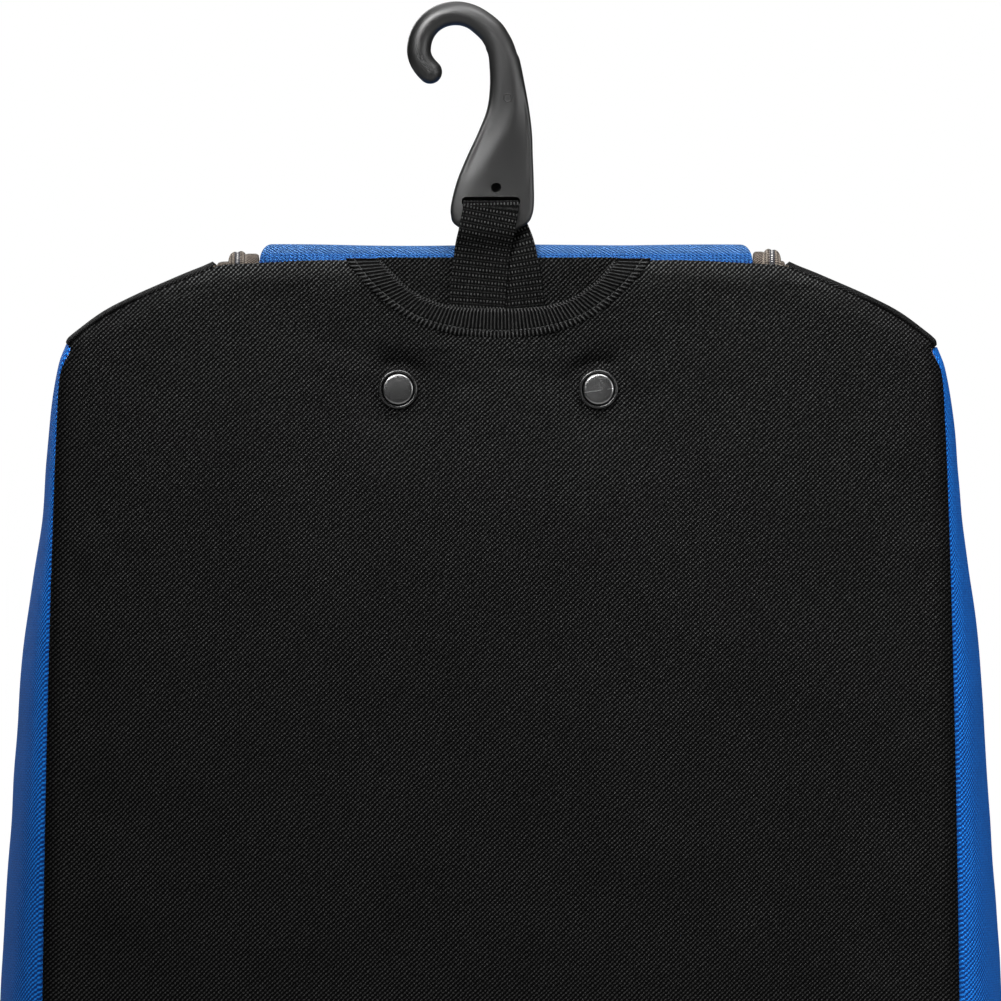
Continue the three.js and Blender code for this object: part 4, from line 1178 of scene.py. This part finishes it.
def binding_piece():
    """The tape round the mouth: its face with the sewn band, the fold over the edge and the back."""
    shares = np.linspace(-1, 1, 201)
    width, thick, lip = BINDING.width, BINDING.thick, BINDING.lip
    seam = width - BINDING.band
    face = np.concatenate([
        width - lip * (1 - np.cos(np.linspace(0, math.pi / 2, 6, endpoint=False))),
        np.linspace(width - lip, 0.4, 26),
    ])
    swell = 0.35 * quarter_round((width - face) / lip) - 0.35
    groove = -0.55 * bell(face - seam, 0.5)
    puff = 0.45 * smooth((face - seam) / 0.9) * smooth((width - face) / lip)
    s, depth = crossed(shares, face)
    x, z, y = binding_place(s * binding_reach(face), depth * narrowed(s))
    outer = [stacked(x, y - thick - (swell + groove + puff), z)]
    inner = [stacked(x, y, z)]

    turn = np.linspace(0, math.pi, 14)[1:-1]
    s, angle = crossed(shares, turn)
    edge, down = mouth_edge(s)
    x, z = edge[..., 0], edge[..., 1]
    near = front_face(x, np.minimum(z, panel_top(x) - 1)) - 0.5 - thick
    far = front_inside(x, np.minimum(z, panel_top(x))) + 0.6 + thick
    middle, half = (near + far) / 2, (far - near) / 2
    x, z = below_edge(edge, down, -BINDING.fold * np.sin(angle))
    outer.append(stacked(x, middle - np.cos(angle) * half, z))
    x, z = below_edge(edge, down, (thick - BINDING.fold) * np.sin(angle))
    inner.append(stacked(x, middle - np.cos(angle) * (half - thick), np.minimum(z, BINDING_TOP - 0.4)))

    back = np.linspace(0.4, BINDING.inside, 10)
    s, depth = crossed(shares, back)
    x, z = below_edge(*mouth_edge(s), depth)
    y = front_inside(x, np.where(z > PANEL_TOP - 4, panel_top(x), z)) + 0.6
    outer.append(stacked(x, y + thick, z))
    inner.append(stacked(x, y, z))

    along = run_length(mouth_edge(shares)[0])
    across = np.concatenate([face, -np.linspace(0, 6, len(turn)), back])
    cloth = stacked(along[:, None], across, 0.0)
    piece = cloth_wall("mouth_binding", np.concatenate(outer, 1), np.concatenate(inner, 1), cloth, sharp=70)
    dressed(piece, BINDING_TAPE, "black_tape", "pocket_binding")


def stitch_row(name, starts, ends, radius, material, slot):
    """A row of stitches, each a short rounded thread from one point to another."""
    parts = []
    angles = turn_angles(8)
    arc = np.linspace(0.25, math.pi / 2, 4)
    inset, size = radius * (1 - np.cos(arc)), radius * np.sin(arc)
    sizes = np.concatenate([size, size[::-1]])
    for number, (start, end) in enumerate(zip(starts, ends)):
        along = unit(end - start)
        side = unit(np.cross(along, (0.0, 1.0, 0.0)))
        circle = np.outer(np.cos(angles), side) + np.outer(np.sin(angles), np.cross(side, along))
        places = np.concatenate([inset, np.linalg.norm(end - start) - inset[::-1]])
        rings = start + places[:, None, None] * along + sizes[:, None, None] * circle
        parts.append(loft(f"{name}_{number}", rings))
    dressed(joined(name, parts), material, slot)


def binding_stitches():
    row = BINDING_STITCHES
    shares = np.linspace(-row.reach, row.reach, row.count)
    half = (shares[1] - shares[0]) * row.half
    depth = (BINDING.width - BINDING.band) * narrowed(shares)
    ends = []
    for side in (-1, 1):
        x, z, y = binding_place(shares + side * half, depth)
        ends.append(np.stack([x, y - BINDING.thick + row.sunk, z], -1))
    stitch_row("binding_stitches", *ends, row.radius, BLACK_THREAD, "black_tape")


def corner_stitches(word, side):
    """The few taupe stitches of the seam between the panel and the gusset, below the shoulder strip."""
    row = CORNER_STITCHES
    heights = row.top - row.pitch * np.arange(row.count)
    ends = []
    for half in (-row.half, row.half):
        z = heights + half
        ends.append(stacked(side * (panel_half(z) - 0.5), -HALF_DEPTH - 2.4, z))
    stitch_row(f"corner_stitches_{word}", *ends, row.radius, TAUPE_THREAD, "zip_cloth")


# Webbing loop

def smooth_path(stations, spacing):
    """Evenly spaced points on a smooth line through stations, and their distances along it."""
    fine = resampled(np.array(stations, float), 24)
    whole = run_length(fine)[-1]
    places = np.linspace(0, whole, int(whole / spacing) + 1)
    return at_lengths(fine, places), places


def webbing_stations():
    """Points along the middle of the webbing: from the pocket over the hook's slot and back."""
    width, thick = WEBBING.width, WEBBING.thick
    over, bend, stand = WEBBING.over, WEBBING.bend, WEBBING.stand

    def sewn(x, z):
        edges = pocket_level(np.array([x - width / 2, x + width / 2]), np.array([z, z]))
        return edges.min() - 2 * GAP - thick / 2

    legs = [(-11.4, 7.8, WEBBING.sewn), (-11.4, 7.8, 820.0), (-11.3, 7.7, 840.0), (-10.9, 7.1, 868.0),
            (-8.7, 3.7, 893.0)]
    rows = [(front, sewn(front, z) - thick - GAP, z) for front, _, z in legs]
    rows.append((-6.5, HOOK_Y - stand, 904.0))
    rows.append((HOOK_SLOT.x, HOOK_Y - stand, over - bend))
    for angle in (-1.05, -0.52, 0.0, 0.52, 1.05):
        lean = np.sign(angle) * (stand - bend) + bend * math.sin(angle)
        rows.append((HOOK_SLOT.x, HOOK_Y + lean, over - bend + bend * math.cos(angle)))
    rows.append((HOOK_SLOT.x, HOOK_Y + stand, over - bend))
    rows.append((0.0, HOOK_Y + stand, 904.0))
    rows += [(rear, sewn(rear, z), z) for _, rear, z in reversed(legs)]
    return rows


def strap_piece():
    """The webbing loop, its edges thinner than its middle."""
    path, length = smooth_path(webbing_stations(), 1.2)
    along = unit(np.gradient(path, axis=0))
    flat = unit(along * (0, 1, 1))
    outwards = np.stack([np.zeros(len(flat)), -flat[:, 2], flat[:, 1]], 1)
    lean = unit(np.array([1.0, 0, 0]) - along * along[:, :1])
    shares = edge_dense(middle=25, edge=5, reach=0.08)
    offsets = shares * WEBBING.width / 2
    half = WEBBING.thick / 2 * (0.35 + 0.65 * quarter_round((1 - np.abs(shares)) * 12.5 / 0.9))
    middle = path[:, None] + lean[:, None] * offsets[None, :, None]
    outer = middle + outwards[:, None] * half[None, :, None]
    inner = middle - outwards[:, None] * half[None, :, None]
    cloth = stacked(offsets, length[:, None], 0.0)
    piece = cloth_wall("hook_webbing", outer, inner, cloth, sharp=60)
    dressed(piece, WEBBING_CLOTH, "black_webbing", "hook_strap")


# Moulded hook

def hook_sections():
    """Rows from the tip to the foot: centre x, centre z, half-width, half-thickness, dish and tilt."""
    rod = HOOK_BEND.rod
    degrees = np.linspace(HOOK_BEND.first, HOOK_BEND.last, 17)
    angle = np.radians(degrees)
    before = smooth((HOOK_LEAN.high - degrees) / HOOK_LEAN.high_over)
    lean = HOOK_LEAN.by * eased(degrees, HOOK_LEAN) * before
    crook = np.stack([
        HOOK_BEND.x - lean + HOOK_BEND.radius * np.cos(angle),
        HOOK_BEND.z + HOOK_BEND.radius * np.sin(angle),
    ], 1)
    middle = resampled(np.concatenate([HOOK_END, crook]), 4)
    share = np.linspace(0, 1, len(middle))
    along = unit(np.gradient(middle, axis=0))
    tilt = np.unwrap(np.arctan2(along[:, 0], -along[:, 1]))
    tilt -= 2 * math.pi * np.round(tilt[-1] / (2 * math.pi))
    half = rod + HOOK_BEND.widen * smooth((share - 0.7) / 0.3)
    bend = np.stack(np.broadcast_arrays(middle[:, 0], middle[:, 1], half, rod, 0.0, tilt), 1)

    beyond = np.sin(np.linspace(1.5, 0.05, 12))
    tip = middle[0] - np.outer(rod * beyond, along[0])
    blunt = rod * np.sqrt(1 - beyond**2)
    cap = np.stack(np.broadcast_arrays(tip[:, 0], tip[:, 1], blunt, blunt, 0.0, tilt[0]), 1)

    level = np.concatenate([SHANK, np.zeros((len(SHANK), 1))], 1)
    shank = resampled(np.concatenate([bend[[-9, -1]], level]), 10)[10:]
    foot = shank[-1] * (1, 1, 0.8, 0.7, 0, 0) - (0, 1.2, 0, 0, 0, 0)
    return np.concatenate([cap, bend, shank[1:], foot[None]])


def hook_cutters():
    """The slot for the webbing, wider at the front and lower at the back, and the round hole above it."""
    angles = turn_angles(48)
    half_z = (HOOK_SLOT.top - HOOK_SLOT.bottom) / 2
    wide, tall = rounded(angles, HOOK_SLOT.half, half_z, 1.5)
    flare = [(-9.0, 1.0, 0), (-3.4, 0.7, 0), (-1.6, 0.5, 0), (-1.0, 0, 0),
             (2.2, 0, 0.4), (3.0, 0, 0.95), (9.0, 0, 1.2)]
    y, grow, sag = np.array(flare).T[:, :, None]
    slot = stacked(
        HOOK_SLOT.x + wide + grow * np.cos(angles),
        HOOK_Y + y,
        HOOK_SLOT.bottom + half_z + tall + grow * np.sin(angles) - sag * (tall > 0),
    )
    bore = [(0.5, 3.2), (2.5, 3.2), (2.7, 0.0), (2.6, -1.4), (2.25, -2.3), (2.3, -8.0)]
    r, y = np.array(bore).T[:, :, None]
    hole = stacked(HOOK_HOLE.x + r * np.cos(angles), HOOK_Y + y, HOOK_HOLE.z + r * np.sin(angles))
    return loft("slot_cutter", slot), loft("hole_cutter", hole)


def hook_piece():
    """The hook: a round crook, and a flat shank with a ridge across its dished face."""
    x, z, half, thick, dish, tilt = hook_sections().T[:, :, None]
    angles = turn_angles(160)
    square = 1 - 0.35 * clamp01((half - thick) / half)
    out = np.sign(np.cos(angles)) * np.abs(np.cos(angles)) ** square
    up = np.sign(np.sin(angles)) * np.abs(np.sin(angles)) ** square
    fall = (HOOK_RIDGE.high - z) / (HOOK_RIDGE.high - HOOK_RIDGE.low)
    ridge = HOOK_RIDGE.right + (HOOK_RIDGE.left - HOOK_RIDGE.right) * clamp01(fall)
    rightwards = smooth((out - ridge) / (HOOK_RIDGE.rim - ridge))
    leftwards = 0.8 * smooth((ridge - out) / HOOK_DISH.flank)
    slope = np.where(out > ridge, rightwards, leftwards)
    inside = smooth((0.97 - out) / 0.22) * smooth((out + 0.98) / 0.25)
    sunk = np.where(np.sin(angles) < 0, dish * (0.2 + HOOK_DISH.depth * slope) * inside, 0.0)
    rings = stacked(
        x + np.cos(tilt) * half * out,
        HOOK_Y + thick * up + sunk,
        z + np.sin(tilt) * half * out,
    )
    hook = loft("bag_hook_moulding", rings, sharp=60)
    for cutter in hook_cutters():
        carved(hook, cutter)
    hook.data.shade_smooth()
    hook.data.set_sharp_from_angle(angle=math.radians(60))
    hook = joined("bag_hook_moulding", [hook, gate_mark(hook)])
    dressed(hook, HOOK_PLASTIC, "hook_plastic", "bag_hook")


def gate_mark(hook):
    """The small moulded ring on the face of the shank, laid on the face below it."""
    around = turn_angles(40)
    section = turn_angles(8)
    radius = HOOK_MARK.radius + HOOK_MARK.wire * np.cos(section)
    x = HOOK_MARK.x + np.outer(np.cos(around), radius)
    z = HOOK_MARK.z + np.outer(np.sin(around), radius)
    hit = [hook.ray_cast((px * MM, -1.0, pz * MM), (0, 1, 0)) for px, pz in zip(x.mean(1), z.mean(1))]
    face = np.array([spot[1].y / MM for spot in hit])
    y = face[:, None] + HOOK_MARK.wire * np.sin(section)
    return loft("gate_mark", stacked(x, y, z), joined=True)


# Studs

def stud_pieces(word, material):
    """A stud: a domed metal cap in an enamelled ring."""
    low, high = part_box(f"stud_cap_{word}")
    place = ((low.x + high.x) / 2 / MM, high.y / MM, (low.z + high.z) / 2 / MM)
    outwards = ((1, 0, 0), (0, 0, -1), (0, 1, 0))
    cap = STUD.cap
    edge = [(cap, 2.45), (cap - 0.04, 2.68), (cap - 0.15, 2.9), (cap - 0.32, 3.08), (cap - 0.55, 3.22),
            (cap - 0.8, 3.31), (cap - 1.1, 3.36)]
    dome = [(4.6, 3.41), (2.4, 3.46), (0.6, 3.48)]
    profile = [(0.6, 0.0), (cap - 0.2, 0.0), (cap, 0.3), *edge, *dome]
    dressed(turned(f"stud_cap_{word}_disc", profile, 72, place, outwards), material, "stud_metal",
            f"stud_cap_{word}")
    bore, ring = cap + GAP, STUD.ring
    rim = 0.75
    lip = [(ring - rim + rim * math.cos(a), 1.35 + rim * math.sin(a)) for a in np.linspace(-0.4, math.pi, 14)]
    profile = [(bore, 0.0), (ring - 0.6, 0.0), (ring - 0.05, 0.5), *lip, (bore, 1.2), (bore, 0.0)]
    dressed(turned(f"stud_ring_{word}_lip", profile, 72, place, outwards), STUD_ENAMEL, "stud_dark",
            f"stud_ring_{word}")


# Base tub

def tub_plan(outwards, count):
    """Plan of the cloth at the tub's rim, moved outwards, as an even loop of points."""
    half = panel_half(TUB.top)
    share = np.linspace(1, 0, 24)
    face = np.stack([
        half - share * ROLL_WIDTH + outwards * (1 - share),
        HALF_DEPTH + CLOTH + PANEL_ROLL * quarter_round(share) + outwards,
    ], 1)
    t = np.linspace(1, 0, 60)
    bulge = gusset_bulge(TUB.top) * (1 - t**GUSSET_FULLNESS)
    flank = np.stack([half + bulge + outwards, t * HALF_DEPTH], 1)
    quarter = np.concatenate([[[0.0, HALF_DEPTH + CLOTH + PANEL_ROLL + outwards]], face, flank])
    mirror = np.concatenate([quarter, quarter[-2::-1] * (1, -1)])
    loop = np.concatenate([mirror, mirror[-2:0:-1] * (-1, 1)])
    closed = np.concatenate([loop, loop[:1]])
    return at_lengths(closed, np.linspace(0, run_length(closed)[-1], count, endpoint=False))


def tub_floor(y, inwards):
    """Height of the tub's underside: level, rising at the front edge and more under the wheels."""
    reach = HALF_DEPTH + CLOTH + PANEL_ROLL + TUB.wall + 4
    front = TUB_FLOOR.front * clamp01((-y - reach + TUB_FLOOR.front_run) / TUB_FLOOR.front_run)
    back = TUB_FLOOR.back * clamp01((y - reach + TUB_FLOOR.back_run) / TUB_FLOOR.back_run)
    return TUB.bottom + inwards + front + back


def tub_rings(levels, outwards, inwards):
    """Level rings of the tub, each drawn in by an inset and set between the underside and the rim."""
    plan = tub_plan(outwards, 320)
    rings = []
    for z, inset in levels:
        x, y = (plan * (1 - inset / np.abs(plan).max(0))).T
        share = (TUB.top - z) / (TUB.top - TUB.bottom - inwards)
        rings.append(np.stack([x, y, TUB.top - (TUB.top - tub_floor(y, inwards)) * share], 1))
    return rings


def rounded_box(name, x0, x1, y0, y1, z0, z1, corner):
    """A box with its four edges along x rounded."""
    y, z = rounded(turn_angles(40) + math.pi / 40, (y1 - y0) / 2, (z1 - z0) / 2, corner)
    return loft(name, stacked([[x0], [x1]], (y0 + y1) / 2 + y, (z0 + z1) / 2 + z))


def tub_piece():
    """The tub: ribbed sides, a thicker rim and a well for each wheel."""
    wall, top, bottom = TUB.wall, TUB.top, TUB.bottom
    outwards = TUB.ease + wall
    outside = [(bottom, 42), (bottom, 37), (bottom, 28), (bottom, 18), (bottom, 9), (bottom + 0.6, 5.5),
               (bottom + 2.2, 2.4), (bottom + 5, 0.6), (bottom + 8, 0)]
    ribs = [(z + dz, inset) for z in (30, 42, 54) for dz, inset in ((0, 0), (0.8, 0.9), (3.2, 0.9), (4, 0))]
    rim = [(90, 0), (91, -0.9), (92, -1.2), (top - 1.6, -1.2), (top - 0.5, -0.7), (top, 0.3)]
    outer = tub_rings(outside + ribs + rim, outwards, 0.0)
    inner = tub_rings([(top, wall - 0.4), (top - 1, wall), (bottom + 8, wall), (bottom + wall, wall + 6),
                       (bottom + wall, 28), (bottom + wall, 42)], outwards, wall)
    tub = loft("moulded_tub", np.array(outer + inner))
    for side in (-1, 1):
        x = side * WHEEL.x
        shell = WELL.half + wall
        far = HALF_DEPTH + CLOTH + PANEL_ROLL + TUB.ease + 0.4
        lining = rounded_box("lining", x - shell, x + shell, WELL.front - wall, far,
                             bottom + 0.2, WELL.height + wall, 10)
        keep = loft("keep", np.array(tub_rings(outside + [(60, 0), (top, 0)], outwards - 0.3, 0.0)))
        carved(tub, carved(lining, keep, "INTERSECT"), "UNION")
        carved(tub, rounded_box("well", x - WELL.half, x + WELL.half, WELL.front, far + 60, -60,
                                WELL.height, 9))
    tub.data.shade_smooth()
    tub.data.set_sharp_from_angle(angle=math.radians(35))
    dressed(tub, TUB_PLASTIC, "tub_plastic", "base_tub")


# Wheels, axles and feet

def mirrored(profile):
    """A profile of radius and place pairs, followed by its mirror image."""
    return profile + [(radius, -place) for radius, place in reversed(profile)]


def wheel_pieces(word, side):
    """A wheel: the treaded tyre, the spoked hub and the fixed axle."""
    body = f"{word}_wheel"
    centre = np.array([side * WHEEL.x, WHEEL.y, WHEEL.radius])
    radius, half = WHEEL.radius, WHEEL.half
    seat = radius - WHEEL.tyre
    angles = turn_angles(288)
    profile = [(seat + GAP, -half), (radius - 6, -half), (radius - 3.4, -half + 0.9),
               (radius - 1.2, -half + 2.6), (radius - 0.5, -half + 4.4), (radius, -3.6), (radius, -1.4),
               (radius - 1.6, -1.0)]
    r, x = np.array(mirrored(profile), float).T
    cuts = (0.5 - 0.5 * np.cos(angles * TREAD.blocks)) ** TREAD.sharp
    tread = clamp01((r - (radius - 5)) / 3)[:, None] * cuts
    size = r[:, None] - tread * TREAD.depth
    rings = stacked(x[:, None], size * np.cos(angles), size * np.sin(angles)) + centre
    tyre = loft(f"tyre_{word}", rings, joined=True, sharp=45)
    dressed(tyre, TYRE_RUBBER, "tyre_rubber", f"wheel_tyre_{word}", body=body)

    bore = AXLE.radius + AXLE.clear
    boss = half + HUB.boss
    r = np.concatenate([
        bore + np.array([0, 4.5, 5.6, 6, 6.4]),
        np.linspace(bore + 7, seat - 4, 12),
        seat - np.array([3.4, 3, 0.6, 0]),
    ])
    x = np.concatenate([
        boss - np.array([0.6, 0, 0.3, 1.2]),
        [half - 3],
        np.full(12, half - 4.0),
        half - np.array([2.5, 0.4, 0, 0.5]),
    ])
    spoke = smooth((np.cos(angles * HUB.spokes) - 0.55) / 0.25)
    web = smooth((r - bore - 6.6) / 1.4) * smooth((seat - 3.6 - r) / 1.4)
    depth = x[:, None] - HUB.web * web[:, None] * (1 - spoke)
    near = stacked(-depth, r[:, None] * np.cos(angles), r[:, None] * np.sin(angles))
    far = near[::-1] * (-1, 1, 1)
    hub = loft(f"hub_{word}", np.concatenate([near, far]) + centre, joined=True, sharp=45)
    dressed(hub, HUB_PLASTIC, "hub_plastic", f"wheel_hub_{word}", body=body)

    end = WELL.half - GAP
    pin = AXLE.radius
    profile = mirrored([(0.5, -end), (pin - 0.8, -end), (pin, 0.8 - end)])
    sideways = ((0, 0, 1), (1, 0, 0), (0, 1, 0))
    axle = turned(f"axle_{word}", profile, 48, centre, sideways)
    dressed(axle, AXLE_STEEL, "axle_steel", f"wheel_axle_{word}")


def foot_piece(word, side):
    """A foot with round ends, standing on the floor."""
    height = TUB.bottom - GAP
    levels = [(0.0, 2.4), (0.3, 1.2), (1.0, 0.4), (2.2, 0.0),
              (height - 2.0, 0.0), (height - 0.6, 0.3), (height, 1.0)]
    z, inset = np.array(levels).T[:, :, None]
    radius = FOOT.width / 2 - inset
    x, y = rounded(turn_angles(96), FOOT.length / 2 - inset, radius, radius)
    foot = loft(f"foot_{word}", stacked(side * FOOT.x + x, FOOT.y + y, z))
    dressed(foot, FOOT_RUBBER, "foot_rubber", f"base_foot_{word}")


lid_piece()
pocket_piece()
binding_piece()
binding_stitches()
strap_piece()
hook_piece()
tub_piece()
for side_word, sign, first_seed, flatter, stud_face in (
    ("left", -1, 61, 2.2, STUD_METAL),
    ("right", 1, 71, 1.2, STUD_SCRATCHED),
):
    gusset_piece(side_word, sign, first_seed, flatter)
    strip_piece(side_word, sign)
    corner_stitches(side_word, sign)
    zip_piece(side_word, sign)
    slider_piece(side_word, sign)
    stud_pieces(side_word, stud_face)
    wheel_pieces(side_word, sign)
    foot_piece(side_word, sign)
